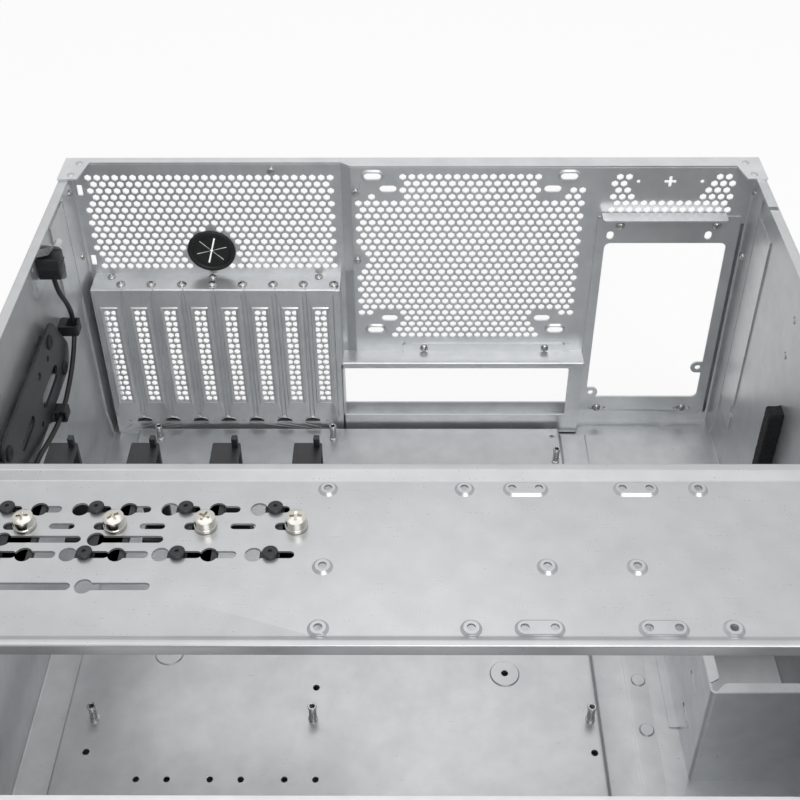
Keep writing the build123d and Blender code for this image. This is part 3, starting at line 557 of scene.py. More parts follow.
def inLeftField(x, z, s):
    edge = -210.5 if 150.0 < z < 186.0 else -207.5    # some of the odd rows start a hole further out
    return edge < x < -50.5 and math.dist((x, z), s.grommet) > s.grommetClear


def inSupplyField(x, z, s):
    # both wings of the vent, with the knock-out's plain field between them
    return 127.0 < x < 205.0 and (abs(x - s.knockOut[0] - 0.2) >= (25.5 if z > 203.0 else 22.0) or z <= 196.5)


def buildRearWall(s):
    sheet, innerX, ventY, leftY = plan.sheet, plan.innerX - plan.sheet, plan.ventY, plan.leftVentY
    fold = bentPath([(-innerX, ventY - 20), (-innerX, leftY), (s.stepX[0], leftY), (s.stepX[1], ventY),
                     (innerX, ventY), (innerX, ventY - 20)], s.bend)
    end, bottom, top = fold.end, plan.floorTop, plan.wallTop - 0.02

    def onWall(x, z):
        return uAt(fold, x, 0, 22.0, end - 18.0), z

    outline = [(0.0, bottom + 26), (6.0, bottom), (end - 6, bottom), (end, bottom + 26), (end, top - 12),
               (end - 5, top - 4), (end - 18, top - 4), (end - 20, top), (24.0, top), (22.0, top - 4), (5.0, top - 4),
               (0.0, top - 12)]
    holes = []
    for (columns, rows, left, high), keep in (
            (s.fanField, lambda x, z: inFanField(x, z) and clearOfSlots(x, z, s)),
            (s.leftField, lambda x, z: inLeftField(x, z, s)), (s.supplyField, lambda x, z: inSupplyField(x, z, s))):
        holes += hexField(columns, rows, s.pitch, s.rowPitch, left, high, s.flats, keep)
    holes += [slotPoints(x, z, *s.fanSlot) for reach in s.fanReach for x, z in corners(s.fan, reach)]
    holes.append(circlePoints(*s.grommet, s.grommetHole, 40))
    clipLeft, clipRight, clipRows = s.clipHoles
    holes += [rectangle(clipLeft, z - 4, clipRight, z + 4) for z in clipRows]
    knockX, knockZ = s.knockOut
    holes.append([(knockX + a, knockZ + b) for a, b in crossPoints(3.8, 1)])
    holes += [circlePoints(x, knockZ, 1.3, 10) for x in s.knockHoles]
    holes += [list(s.frameOpening), rectangle(*s.seam), roundedRect(*s.supplyOpening, 3)]
    # raised seats round the outer fan slots
    outer = corners(s.fan, s.fanReach[1])
    seats = laid([outer], onWall)[0]
    rings = [slotPoints(x, z, long, wide) for x, z in outer for long, wide in ((15.0, 9.0), (12.6, 6.6))]

    def press(a, b):
        gap = min(math.hypot(max(abs(a - seatA) - 3.0, 0.0), b - seatB) for seatA, seatB in seats)
        return s.seatRise if gap < 3.35 else 0.0

    wall = foldedSheet(outline, laid(holes, onWall), fold, sheet, upright, press,
                       laid(rings, onWall))
    # the narrow folded seam beside the power supply plate
    seamLeft, seamLow, seamRight, seamHigh = s.seam
    channel = bentPath([(seamLeft, ventY + 0.6), (seamLeft, ventY + 6.0), (seamRight, ventY + 6.0),
                        (seamRight, ventY + 0.6)], 0.5, 3)
    seam = foldedSheet(rectangle(0.0, seamLow - 6, channel.end, seamHigh + 1), [], channel, 0.6, upright)
    # top flange with its corner tabs
    half, rear, stepFrom, stepTo = plan.halfWidth, plan.rearY, *s.stepX
    tab, tabIn, tabOut = ventY - s.tab[0], half - s.tab[1], half - s.tab[2]
    flange = [(-half, rear), (-half, tab), (-tabIn, tab), (-tabOut, leftY + 0.3), (stepFrom, leftY + 0.3),
              (stepTo, ventY + 0.2), (tabOut, ventY + 0.2), (tabIn, tab), (half, tab), (half, rear)]
    flange = flatSheet(flange, [], sheet, lambda a, h, b: (a, b, plan.caseTop + h))
    stud = turned(s.stud, 20)
    finishPiece("rearWallStuds", [aimed(stud, at, toFront) for at in s.studs], zincScrew, "slot_screws",
                replaces=False)
    finishPiece("rearWallSheet", [wall, flange, seam], sheetSteelUprightPaintedLight, "rear_panel")


buildRearWall(SimpleNamespace(**rearWall))
print("rear wall built")

# slot covers
slotCovers = {
    "width": 18.4, "sheet": 1.0, "frontY": 229.2, "bottom": 11.0, "shoulder": 18.0, "top": 133.4, "tabReach": 11.0,
    "bend": 1.4, "rows": 17, "rowPitch": 4.83, "windowTop": 113.8, "windowHalf": 3.9, "flats": 4.0,
    "bead": (11.8, 86.0), "beadRise": 0.8, "edge": 0.9, "edgeDrop": 0.6, "footHole": (15.2, 1.2),
}


def coverHoles(x, s):
    # each row is one whole hexagon and one that the window's edge cuts off
    holes, low, tip = [], 0.29 * s.flats, 0.5 * s.flats
    for row in range(s.rows):
        z = s.windowTop - row * s.rowPitch
        side = 1 if row % 2 == 0 else -1
        inner, edge = x + side * 1.0, x + side * s.windowHalf
        middle = (inner + edge) / 2
        holes += [hexPoints(x - side * 1.75, z, s.flats), [(inner, z - low), (inner, z + low), (middle, z + tip),
                                                           (edge, z + tip), (edge, z - tip), (middle, z - tip)]]
    return holes + [circlePoints(x, *s.footHole, 10)]


def buildSlotCovers(s):
    fold = bentPath([(s.frontY + s.tabReach, s.top), (s.frontY, s.top), (s.frontY, s.bottom)], s.bend)
    half, (wide, tall) = s.width / 2, s.bead
    shoulderU, middle = uAt(fold, s.top - 3.0, 1), s.windowTop - (s.rows - 1) * s.rowPitch / 2
    footU, endU = uAt(fold, s.shoulder, 1), uAt(fold, s.bottom, 1)
    low, high = s.shoulder + 1.5, s.top - 5.0

    def onSheet(x, z):
        return uAt(fold, z, 1), x

    for number in range(expansion.count):
        x = expansion.firstX + number * expansion.pitch
        outline = [(0.0, x - half), (0.0, x + 7.7), (6.5, x + 7.7), (6.5, x + 11.0), (shoulderU - 3.5, x + 11.0),
                   (shoulderU, x + half), (footU, x + half), (footU, x + 5.5), (endU, x + 4.0), (endU, x - 4.0),
                   (footU, x - 5.5), (footU, x - half)]
        rings = [roundedRect(x, middle, wide - cut, tall - cut, 1.2) for cut in (-1.6, 0, 1.4, 3)]
        rings += [roundedRect(x, (low + high) / 2, 2 * (half - s.edge + cut), high - low + 2 * cut, 0.6, 2)
                  for cut in (0.0, 0.3)]

        def press(a, b, x=x):
            # turned-back side edges, and a bead round the window
            across, z = abs(b - x), s.top - 3.0 - (a - shoulderU)
            if across > half - s.edge + 0.15 and low < z < high:
                return -s.edgeDrop
            out = max(across - wide / 2, abs(z - middle) - tall / 2)
            if out > 0.8 or out < -1.5:
                return 0.0
            return s.beadRise if -0.75 < out < 0.05 else s.beadRise * 0.15

        cover = foldedSheet(outline, laid(coverHoles(x, s), onSheet), fold, s.sheet, crosswise, press,
                            laid(rings, onSheet))
        finishPiece(f"slotCover{number + 1}", [cover], sheetSteelUprightPaintedLight, f"slot_cover_{number + 1}")


buildSlotCovers(SimpleNamespace(**slotCovers))
print("slot covers built")

# screws and rivets: node, size beside the pan-head screw, and where each one stands
panScrew = {"radius": 3.15, "height": 2.2, "rim": 0.7, "cross": (3.6, 0.95), "depth": 1.3}
screwRows = {
    "slotCoverScrews": ("slot_screws", 1.0, [((-194.25 + 20.32 * i, 235.2, 133.4), up) for i in range(8)]),
    "slotShelfScrews": ("slot_shelf_screws", 0.88, [((x, 244.8, 132.4), up) for x in (-202.4, -134.2, -62.6)]),
    "powerPlateScrews": ("psu_plate_screws", 0.94, [((x, 243.0, z), toFront) for x, z in (
        (135.5, 175.2), (198.0, 175.6), (135.3, 14.8), (197.4, 14.8))]),
    "rearWallScrews": ("rear_panel_screws", 0.86, [((side * 217.6, 240.2, z), (-side, 0, 0)) for side in bothSides
                                                   for z in (202.0, 153.0)]
                       + [((x, 243.0, 71.7), toFront) for x in (8.6, 93.4)]),
    "retainerBarScrews": ("retainer_bar_screws", 1.0, [((side * 217.6, y, 185.0), (-side, 0, 0)) for side in bothSides
                                                       for y in (-32.95, -76.95)]),
    "handleScrews": ("handle_screws", 1.15, [((x, -218.2, z), toRear) for x in (-198.0, 198.0)
                                             for z in (39.75, 179.75)]),
}
cornerRivet = {"spots": ((210.2, 248.4), (212.6, 234.6)),
               "dome": ((2.3, 0.0), (2.3, 0.12), (1.9, 0.36), (1.1, 0.48), (0.3, 0.5))}


def buildScrews(rows):
    head = crossHead(**panScrew)
    for name, (node, scale, spots) in rows.items():
        finishPiece(name, [aimed(head, at, axis, 0.7 * number + 0.3, scale)
                           for number, (at, axis) in enumerate(spots)], zincScrew, node, 40)
    dome = turned(cornerRivet["dome"], 20)
    finishPiece("cornerRivetHeads", [aimed(dome, (side * x, y, plan.caseTop)) for side in bothSides
                                     for x, y in cornerRivet["spots"]], zincScrew, "corner_rivets")


buildScrews(screwRows)
print("screws built")

# case pan
pan = {"bend": 2.0, "flange": 6.5, "rearLip": 10.1, "frontLip": 12.0, "notchY": (195.6, 199.4),
       "wallHoles": ((133.6, 183.8), (133.6, 157.5)),
       "rivet": ((2.6, -1.3), (2.6, -0.7), (1.9, -0.5), (1.7, 0.2), (1.1, 0.5), (0.3, 0.55))}


def buildPan(s):
    half, top, sheet, front, rear = plan.halfWidth, plan.wallTop, plan.sheet, plan.frontY, plan.rearY
    fold = bentPath([(s.flange - half, top), (-half, top), (-half, 0.0), (half, 0.0), (half, top),
                     (half - s.flange, top)], s.bend, 6)
    end, flangeIn, inner = fold.end, fold.end - s.flange + 1.2, plan.innerX
    notchFrom, notchTo = s.notchY
    outline = [(0.0, -rear), (end, -rear), (end, -notchTo), (flangeIn, -notchTo), (flangeIn, -notchFrom),
               (end, -notchFrom), (end, -front), (0.0, -front)]
    wallU = uAt(fold, 100.0, 1, end / 2)
    holes = [circlePoints(wallU + z - 100.0, -y, 2.4, 20) for y, z in s.wallHoles]
    parts = [foldedSheet(outline, holes, fold, sheet, lengthwise)]
    parts.append(flatSheet(softPolygon(rectangle(2.0 - inner, sheet, inner - 2.0, s.rearLip), 1.2), [], sheet,
                           lambda a, h, b: (a, rear - sheet - h, b)))
    rimTop, rimIn = top - 1.2, inner - s.frontLip
    rim = [(-inner, sheet), (inner, sheet), (inner, rimTop), (rimIn, rimTop), (rimIn, s.frontLip),
           (-rimIn, s.frontLip), (-rimIn, rimTop), (-inner, rimTop)]
    parts.append(flatSheet(rim, [], sheet, lambda a, h, b: (a, front - h, b)))
    # pressed-in rivets that close the two holes of the right wall
    rivet = turned(s.rivet, 20)
    parts += [aimed(rivet, (inner, y, z), (-1, 0, 0)) for y, z in s.wallHoles]
    finishPiece("casePanSheet", parts, sheetSteel, "chassis_pan")


buildPan(SimpleNamespace(**pan))

# motherboard tray
tray = {
    "left": -197.8, "right": 106.3, "top": 9.0, "footTop": 2.4, "joggle": 1.3, "foot": 32.4, "bend": 1.6,
    "step": (19.2, 0.8, 0.4),                     # where the low strip rises once more, how wide and how high
    "rear": 226.4, "front": -101.0, "discs": ((54.4, 19.2), (-145.0, 33.5)), "discRadius": 8.8, "discRise": 0.8,
    "discHole": 2.1, "holes": ((-55.8, 9.8, 2.0), (-181.4, -31.7, 2.0), (101.2, -31.7, 2.0), (100.8, 218.3, 1.6)),
    "strip": ((133.6, 19.3), (133.6, -13.6)),     # the two pressed spots on the low strip beside the cage
    "stripRadius": 4.3, "rowX": (-150.7, -133.9, -110.3, -93.5, -69.7, -52.7), "rowY": -48.0, "rowRadius": 1.8,
}


def buildTray(s):
    stepAt, stepWide, stepRise = s.step
    fold = bentPath([(s.right + s.foot, s.footTop + stepRise), (s.right + stepAt + stepWide, s.footTop + stepRise),
                     (s.right + stepAt, s.footTop), (s.right + s.joggle, s.footTop), (s.right, s.top),
                     (s.left, s.top), (s.left, plan.sheet)], s.bend)

    def onTray(x, y):
        return uAt(fold, x), -y

    holes = list(s.holes) + [(x, s.rowY, s.rowRadius) for x in s.rowX] + [(x, y, s.discHole) for x, y in s.discs]
    spots = [(*onTray(x, y), s.discRadius) for x, y in s.discs] + [(*onTray(x, y), s.stripRadius) for x, y in s.strip]
    rings = [circlePoints(a, b, radius - cut, 28) for a, b, radius in spots for cut in (0.0, 0.7)]

    def press(a, b):
        gap = min(math.hypot(a - c, b - d) - radius for c, d, radius in spots)
        return s.discRise if gap < -0.6 else 0.0

    sheet = foldedSheet(rectangle(0.0, -s.rear, fold.end, -s.front),
                        laid([circlePoints(x, y, radius, 18) for x, y, radius in holes], onTray), fold, plan.sheet,
                        lengthwise, press, rings)
    finishPiece("motherboardTraySheet", [sheet], sheetSteel, "motherboard_tray")


buildTray(SimpleNamespace(**tray))

# standoffs on the tray
standoff = {"columns": (-180.8, -56.34, 101.14), "rows": (216.63, 61.69, -10.7), "cornerRow": 193.77, "height": 12.6,
            "flats": 5.5, "bore": 1.35, "threads": 7, "threadMm": 1.1}


def buildStandoffs(s):
    tall, bore = s.height, s.bore
    profile = [(s.flats / 2, 0.0), (s.flats / 2, 1.3), (2.15, 1.6)]
    for z in (2.2 + thread * s.threadMm for thread in range(s.threads)):
        profile += [(1.95, z), (2.2, z + 0.35), (2.2, z + 0.6)]
    profile += [(1.95, tall - 2.3), (2.5, tall - 2.0), (2.6, tall - 0.4), (2.25, tall), (bore + 0.3, tall),
                (bore, tall - 0.3), (bore, tall - 7.0), (0.3, tall - 7.0)]
    post, spots = turned(profile, 24), [(x, y) for x in s.columns for y in s.rows]
    spots[-3] = (s.columns[2], s.cornerRow)
    finishPiece("threadedStandoffs", [aimed(post, (x, y, tray["top"])) for x, y in spots], zincScrew, "standoffs")


buildStandoffs(SimpleNamespace(**standoff))
print("pan, tray and standoffs built")

# retainer bar
retainerBar = {
    "rear": -3.7, "front": -106.2, "rim": 208.0, "dish": 3.0, "flange": 6.0, "lip": 4.6, "rearSlope": 4.2,
    "frontLip": 3.0, "frontSlope": 3.8, "bend": 1.1,
    "bossRadius": 4.6, "bossSlope": 1.3, "bossRise": 1.2, "bossHole": 1.9, "doubleLength": 21.0, "doubleReach": 6.2,
    "bossX": (-39.0, 24.0, 131.8), "doubleX": (52.2, 103.1), "middleX": (-39.0, 58.2, 97.0),
    "bossRows": (-17.8, -95.6), "middleRow": -63.3,
    "firstX": -173.9, "pitch": 40.64, "keyRadius": 3.9, "keySlot": 4.0,
    "rows": {"a": -30.2, "b": -40.3, "c": -47.9, "d": -56.6, "e": -74.0},
    "between": 3.6, "betweenReach": (14.0, 14.0, 12.0),    # the keyholes between the hooked ones of row d
    "longKeys": ((-182.0, "c", 35.0), (-140.4, "c", 30.0), (-182.0, "e", 36.0), (-140.4, "e", 28.5)),
    "ear": (38.0, 31.0),
}


def barHoles(s):
    rows, slot, keys, slots = s.rows, s.keySlot, [], []
    for index in range(4):
        x = s.firstX + index * s.pitch
        keys += [(x - 17.7, "a", 14.0), (x - 17.7, "d", 18.0)]
        slots.append(slotPoints(x - 3.75, rows["b"], 11.9, slot + 0.4))
        if index < 3:
            keys += [(x + 4.3, "a", 10.2), (x + s.between, "d", s.betweenReach[index])]
            slots.append(slotPoints(x + 16.7, rows["b"], 11.5, slot - 0.6))
    return slots + [keyholePoints(x, rows[row], s.keyRadius, slot, reach) for x, row, reach in keys + list(s.longKeys)]


def buildRetainerBar(s):
    rear, front, rim, plate, inner = s.rear, s.front, s.rim, s.rim - s.dish, plan.innerX
    fold = bentPath([(rear, rim - s.flange), (rear, rim), (rear - s.lip, rim), (rear - s.lip - s.rearSlope, plate),
                     (front + s.frontLip + s.frontSlope, plate), (front + s.frontLip, rim), (front, rim),
                     (front, rim - s.flange)], s.bend)

    def onBar(x, y):
        return uAt(fold, y), x

    singles = [(x, y) for x in s.bossX for y in s.bossRows] + [(x, s.middleRow) for x in s.middleX]
    doubles = [(x, y) for x in s.doubleX for y in s.bossRows]
    drilled = singles + [(x + side * s.doubleReach, y) for x, y in doubles for side in bothSides]
    holes = [circlePoints(x, y, s.bossHole, 20) for x, y in drilled] + barHoles(s)
    rings = []
    for cut in (0.0, s.bossSlope):
        rings += [circlePoints(x, y, s.bossRadius - cut, 28) for x, y in singles]
        rings += [slotPoints(x, y, s.doubleLength - 2 * cut, 2 * (s.bossRadius - cut), 12) for x, y in doubles]

    def press(a, b):
        y = along(fold, a)[0]
        gap = min([math.hypot(b - px, y - py) for px, py in singles]
                  + [math.hypot(max(abs(b - px) - s.doubleLength / 2 + s.bossRadius, 0), y - py) for px, py in doubles])
        return s.bossRise if gap < s.bossRadius - s.bossSlope + 0.1 else 0.0

    parts = [foldedSheet(rectangle(0.0, -inner, fold.end, inner), laid(holes, onBar), fold, plan.sheet,
                         crosswise, press, laid(rings, onBar))]
    middle, (reach, drop) = (rear + front) / 2, s.ear
    ear = softPolygon(rectangle(middle - reach, plate - drop, middle + reach, plate - 1), 4.0)
    for side in bothSides:
        parts.append(flatSheet([(-side * a, b) for a, b in ear], [], plan.sheet,
                               lambda a, h, b, side=side: (side * (inner - plan.sheet - h), -side * a, b)))
    finishPiece("retainerBarSheet", parts, sheetSteelAcrossPaintedShade, "retainer_bar")


buildRetainerBar(SimpleNamespace(**retainerBar))
print("retainer bar built")

# hold-downs and their screws
holdDown = {
    "width": 14.0, "sliderTop": 203.5, "thick": 3.0, "sliderFront": -62.6, "sliderRear": -15.7, "armTop": 192.0,
    "armStart": -6.7, "legRear": 26.3, "legBottom": 131.0, "pad": (17.0, 13.0, 5.0), "hookOffset": -10.2,
    "edge": 0.7, "screwRow": -40.3, "screwRise": 0.3,
    "hook": ((1.7, 0.0), (1.7, 1.8), (3.3, 1.8), (3.5, 2.05), (3.5, 3.5), (3.15, 3.85), (0.95, 3.95), (0.85, 3.2),
             (0.3, 3.2)),
    "collar": ((4.95, 0.0), (5.2, 0.25), (5.2, 1.3), (4.95, 1.6), (4.7, 1.75), (4.7, 4.9)),
    "shank": ((1.4, -6.0), (1.5, -5.7), (1.5, 0.0)),
}
clampingHead = {"radius": 4.7, "height": 1.9, "rim": 0.9, "cross": (5.4, 1.3), "depth": 1.5}


def buildHoldDowns(s, bar):
    top, thick, rear, arm, foot = s.sliderTop, s.thick, s.legRear, s.armTop, s.legBottom
    profile = [(s.sliderFront, top), (s.sliderRear, top), (s.armStart, arm), (rear, arm), (rear, foot),
               (rear - thick, foot), (rear - thick, arm - thick), (s.armStart - 1.5, arm - thick),
               (s.sliderRear - 1.5, top - thick), (s.sliderFront, top - thick)]
    hook, (wide, deep, tall), padY = turned(s.hook, 24), s.pad, rear - 5
    rowA, rowD, seat = bar["rows"]["a"], bar["rows"]["d"], bar["rim"] - bar["dish"] + s.screwRise
    screw = joined([turned(s.shank, 16), turned(s.collar, 32), aimed(crossHead(**clampingHead, count=32), (0, 0, 4.9))])
    for number in range(4):
        x = bar["firstX"] + number * bar["pitch"]
        parts = [rounded(prism(profile, s.width, lambda a, b, h, x=x: (x - s.width / 2 + h, a, b)), s.edge),
                 softBlock((x - 15.2, rowD - 6, top - thick), (x + 5.0, rowA + 6, top), s.edge),
                 softBlock((x - wide / 2, padY - deep / 2, foot - tall), (x + wide / 2, padY + deep / 2, foot), 1.2, 3),
                 softBlock((x + 3.0, rear - 3.7, arm - 1), (x + 6.0, rear - 0.3, arm + 5.5), 0.5)]
        parts += [softBlock((ribX, rear - 0.6, foot + 2), (ribX + 1.6, rear + 0.6, arm - 4), 0.3, 1)
                  for ribX in (x - 5.2, x + 3.6)]
        parts += [aimed(hook, (x + s.hookOffset, y, top)) for y in (rowA, rowD)]
        finishPiece(f"holdDownArm{number + 1}", parts, blackAbs, f"hold_down_{number + 1}")
        finishPiece(f"clampingScrew{number + 1}", [aimed(screw, (x, s.screwRow, seat), swing=0.12 + 0.5 * number)],
                    nickel, f"hold_down_screw_{number + 1}", 40)


buildHoldDowns(SimpleNamespace(**holdDown), retainerBar)
print("hold-downs built")

# forward frame round the slots and the connector opening
ioFrame = {
    "left": -214.0, "right": -48.0, "ioRight": 120.0, "front": 230.2, "shelf": 132.4, "ioShelf": 68.5, "bend": 1.8,
    "opening": (30.6, 41.6, 158.75, 44.45), "window": (13.0, 106.4, 71.2), "lip": (-6.2, 67.8, 107.8, 75.2),
    "archLow": 13.6, "archHigh": 17.4, "archHalf": 5.6, "archLip": 1.3, "archRise": 0.9, "channel": (18.6, 240.0, 2.6),
}


def archPoints(x, s, grow=0.0):
    half, rise = s.archHalf + grow, s.archHigh - s.archLow + grow
    return [(x + half * math.cos(a), s.archLow + rise * math.sin(a)) for a in (math.pi * k / 12 for k in range(13))]


def shelfSheet(left, right, rear, top, s, holes, press=None, rings=()):
    # shelf and front face bent from one sheet; holes are given as (x, z) on the front face
    fold = bentPath([(rear, top), (s.front, top), (s.front, plan.floorTop)], s.bend)
    low = uAt(fold, top - 5.0, 1)

    def onFace(x, z):
        return uAt(fold, z, 1), x

    def lift(a, b):
        return press(b, top - 5.0 - (a - low)) if press and a > low else 0.0

    return foldedSheet(rectangle(0.0, left, fold.end, right), laid(holes, onFace), fold, plan.sheet,
                       crosswise, lift, laid(rings, onFace))


def buildIoFrame(s):
    slots = [expansion.firstX + i * expansion.pitch for i in range(expansion.count)]
    middles = [expansion.firstX + (i + 0.5) * expansion.pitch for i in range(expansion.count - 1)]
    wide, tall, windowZ = s.window
    holes = [roundedRect(x, windowZ, wide, tall, 1.5) for x in slots] + [archPoints(x, s) for x in middles]
    rings = [archPoints(x, s, grow) for x in middles for grow in (0.25, s.archLip)]

    def press(x, z):
        over = max(z - s.archLow, 0) / (s.archHigh - s.archLow)
        near = any(math.hypot((x - middle) / s.archHalf, over) < 1.09 for middle in middles)
        return s.archRise if near and z > s.archLow - 0.1 else 0.0

    sheet, floor, leftY, ventY = plan.sheet, plan.floorTop, plan.leftVentY, plan.ventY
    parts = [shelfSheet(s.left, s.right, leftY, s.shelf, s, holes, press, rings),
             shelfSheet(s.right - sheet, s.ioRight, ventY, s.ioShelf, s, [roundedRect(*s.opening, 1.6)])]
    for edge, face, rear, top in ((s.left + sheet, 1, leftY, s.shelf), (s.right, 1, leftY, s.shelf),
                                  (s.ioRight - sheet, -1, ventY, s.ioShelf)):
        wall = rectangle(s.front + 0.4, floor, rear, top - 0.5)
        parts.append(flatSheet([(face * a, b) for a, b in wall], [], sheet,
                               lambda a, h, b, edge=edge, face=face: (edge + face * h, face * a, b)))
    parts += [flatSheet(rectangle(left, s.front, right, rear), [], sheet, lambda a, h, b: (a, b, floor + sheet + h))
              for left, right, rear in ((s.left, s.right, leftY), (s.right, s.ioRight, ventY))]
    # the closed channel behind the arches
    high, back, low = s.channel
    channel = bentPath([(s.front + 1.4, high), (back, high), (back, low)], 0.6, 3)
    parts.append(foldedSheet(rectangle(0.0, s.left + 1.4, channel.end, s.right - 1.4), [], channel, 0.8, crosswise))
    parts.append(flatSheet(softPolygon(rectangle(*s.lip), 2.4), [], sheet, lambda a, h, b: (a, ventY - sheet - h, b)))
    finishPiece("slotAndConnectorFrame", parts, sheetSteelUprightPaintedLight, "io_frame")


buildIoFrame(SimpleNamespace(**ioFrame))

# power supply plate
psuPlate = {
    "left": 120.5, "right": 213.2, "low": 7.0, "high": 185.0, "face": 243.0, "ledge": (122.6, 202.6, 233.6),
    "opening": (166.6, 93.5, 80.0, 136.0), "ears": ((129.6, 29.6), (203.6, 53.6)), "earRadius": 5.0, "hole": 2.0,
    "plainHoles": ((129.6, 167.6), (193.6, 167.6)), "notch": (185.6, 4.0), "bend": 1.4,
    "screwSlots": ((135.3, 14.8), (197.4, 14.8)), "foldLow": 13.0, "foldRise": 0.5,
}


def openingWithEars(s, steps=9):
    # the opening's outline with half-round ears reaching in at two corners
    x, z, wide, tall = s.opening
    right, low, r = x + wide / 2, z - tall / 2, s.earRadius
    (lowX, lowZ), (sideX, sideZ) = s.ears

    def arc(atX, atZ, start, sweep):
        return [(atX + r * math.cos(a), atZ + r * math.sin(a)) for a in (start - sweep * k / steps
                                                                        for k in range(steps + 1))]

    out = [p for p in roundedRect(*s.opening, 4.0) if math.dist(p, s.ears[0]) > r + 0.4]
    at = next(i for i, (_, pz) in enumerate(out) if pz < z)
    out[at:at] = [(x - wide / 2, lowZ + r * 0.93)] + arc(lowX, lowZ, 1.15, 2.55) + [(lowX + r * 0.6, low)]
    return out + [(right, sideZ - r * 0.98)] + arc(sideX, sideZ, -1.9, 2.5) + [(right, sideZ + r * 0.98)]


def buildPsuPlate(s):
    rear, (first, last, ledgeY) = s.face + plan.sheet, s.ledge
    fold = bentPath([(rear, s.low), (rear, s.high), (ledgeY, s.high)], s.bend)
    end, turn, left, right, foldU = fold.end, uAt(fold, s.high - 3.0, 1), s.left, s.right, uAt(fold, s.foldLow, 1)
    notchX, notchR = s.notch
    outline = [(0.0, left + 4), (3.0, left + 0.6), (4.0, left), (turn - 1.0, left), (turn, left + 0.6), (turn, first),
               (end - 1.5, first), (end, first + 1.5), (end, last - 1.5), (end - 1.5, last), (turn, last),
               (turn, right - 0.6), (turn - 1.0, right), (4.0, right), (3.0, right - 0.6), (0.0, right - 4)]
    outline += [(notchR * math.sin(a), notchX + notchR * math.cos(a)) for a in (math.pi * k / 10 for k in range(11))]
    holes = [openingWithEars(s)] + [circlePoints(x, z, s.hole, 20) for x, z in s.ears]
    holes += [slotPoints(x, z, 6.4, 4.6, 9, True) for x, z in s.plainHoles]
    holes += [slotPoints(x, z, 12.4, 2.6) for x, z in s.screwSlots]

    def press(a, b):
        inside = a < foldU - 0.6 and left + 1.2 < b < right - 1.2
        return s.foldRise if inside and math.hypot(b - notchX, a) > notchR + 0.5 else 0.0

    rings = [[(high, left + near), (high, right - near), (low, right - far), (low, left + far)]
             for high, low, near, far in ((foldU, 0.5, 1.0, 5.0), (foldU - 0.7, 1.0, 1.6, 5.6))]
    plate = foldedSheet(outline, laid(holes, lambda x, z: (uAt(fold, z, 1), x)), fold, plan.sheet,
                        crosswise, press, rings)
    finishPiece("powerSupplyPlate", [plate], sheetSteelUprightPaintedLight, "psu_plate")


buildPsuPlate(SimpleNamespace(**psuPlate))
print("frames built")

# rubber grommet with six slits
grommet = {"centre": (-133.5, 151.6), "inner": 12.4, "slit": 0.55, "reach": 10.6, "face": 246.9, "turn": 0.26,
           "rim": ((13.8, -3.6), (13.8, -1.8), (16.0, -1.8), (16.0, -0.9), (15.3, 0.0), (13.4, 0.1), (12.5, -0.6),
                   (12.3, -1.4))}


def buildGrommet(s):
    (x, z), face = s.centre, s.face
    verts, faces = turned(s.rim, 40)
    wide, star = s.slit / s.reach, []
    for k in range(6):
        a = math.pi * k / 3 + s.turn
        b = a + math.pi / 6
        star += [(s.reach * math.cos(a + side * wide), s.reach * math.sin(a + side * wide)) for side in bothSides]
        star.append((s.slit * 1.6 * math.cos(b), s.slit * 1.6 * math.sin(b)))
    skin = flatSheet(circlePoints(0, 0, s.inner + 0.2, 40), [star], 1.2, lambda a, h, b: (x + a, face + 1.3 - h, z + b))
    finishPiece("cableGrommetRubber", [aimed((verts, faces[:-2]), (x, face, z), toFront), skin], blackRubber,
                "cable_grommet")


buildGrommet(SimpleNamespace(**grommet))

# lid switch with its bracket and lever
lidSwitch = {
    "wall": -218.8, "y": 162.2, "low": 188.0, "high": 212.0, "front": 146.2, "rear": 169.2, "right": -204.8,
    "sheet": 1.0, "bend": 1.0, "rivetRows": (193.0, 207.0), "body": ((-217.3, 156.2, 196.0), (-204.3, 168.2, 210.0)),
    "seam": (203.4, 204.2), "eyes": (3.0, 199.6), "pins": (-215.6, -208.6), "pinRows": (193.6, 196.2),
    "lever": ((-201.8, 218.0), (-204.8, 219.2), (-209.8, 213.0), (-216.6, 211.0)), "leverY": (158.2, 166.2),
}


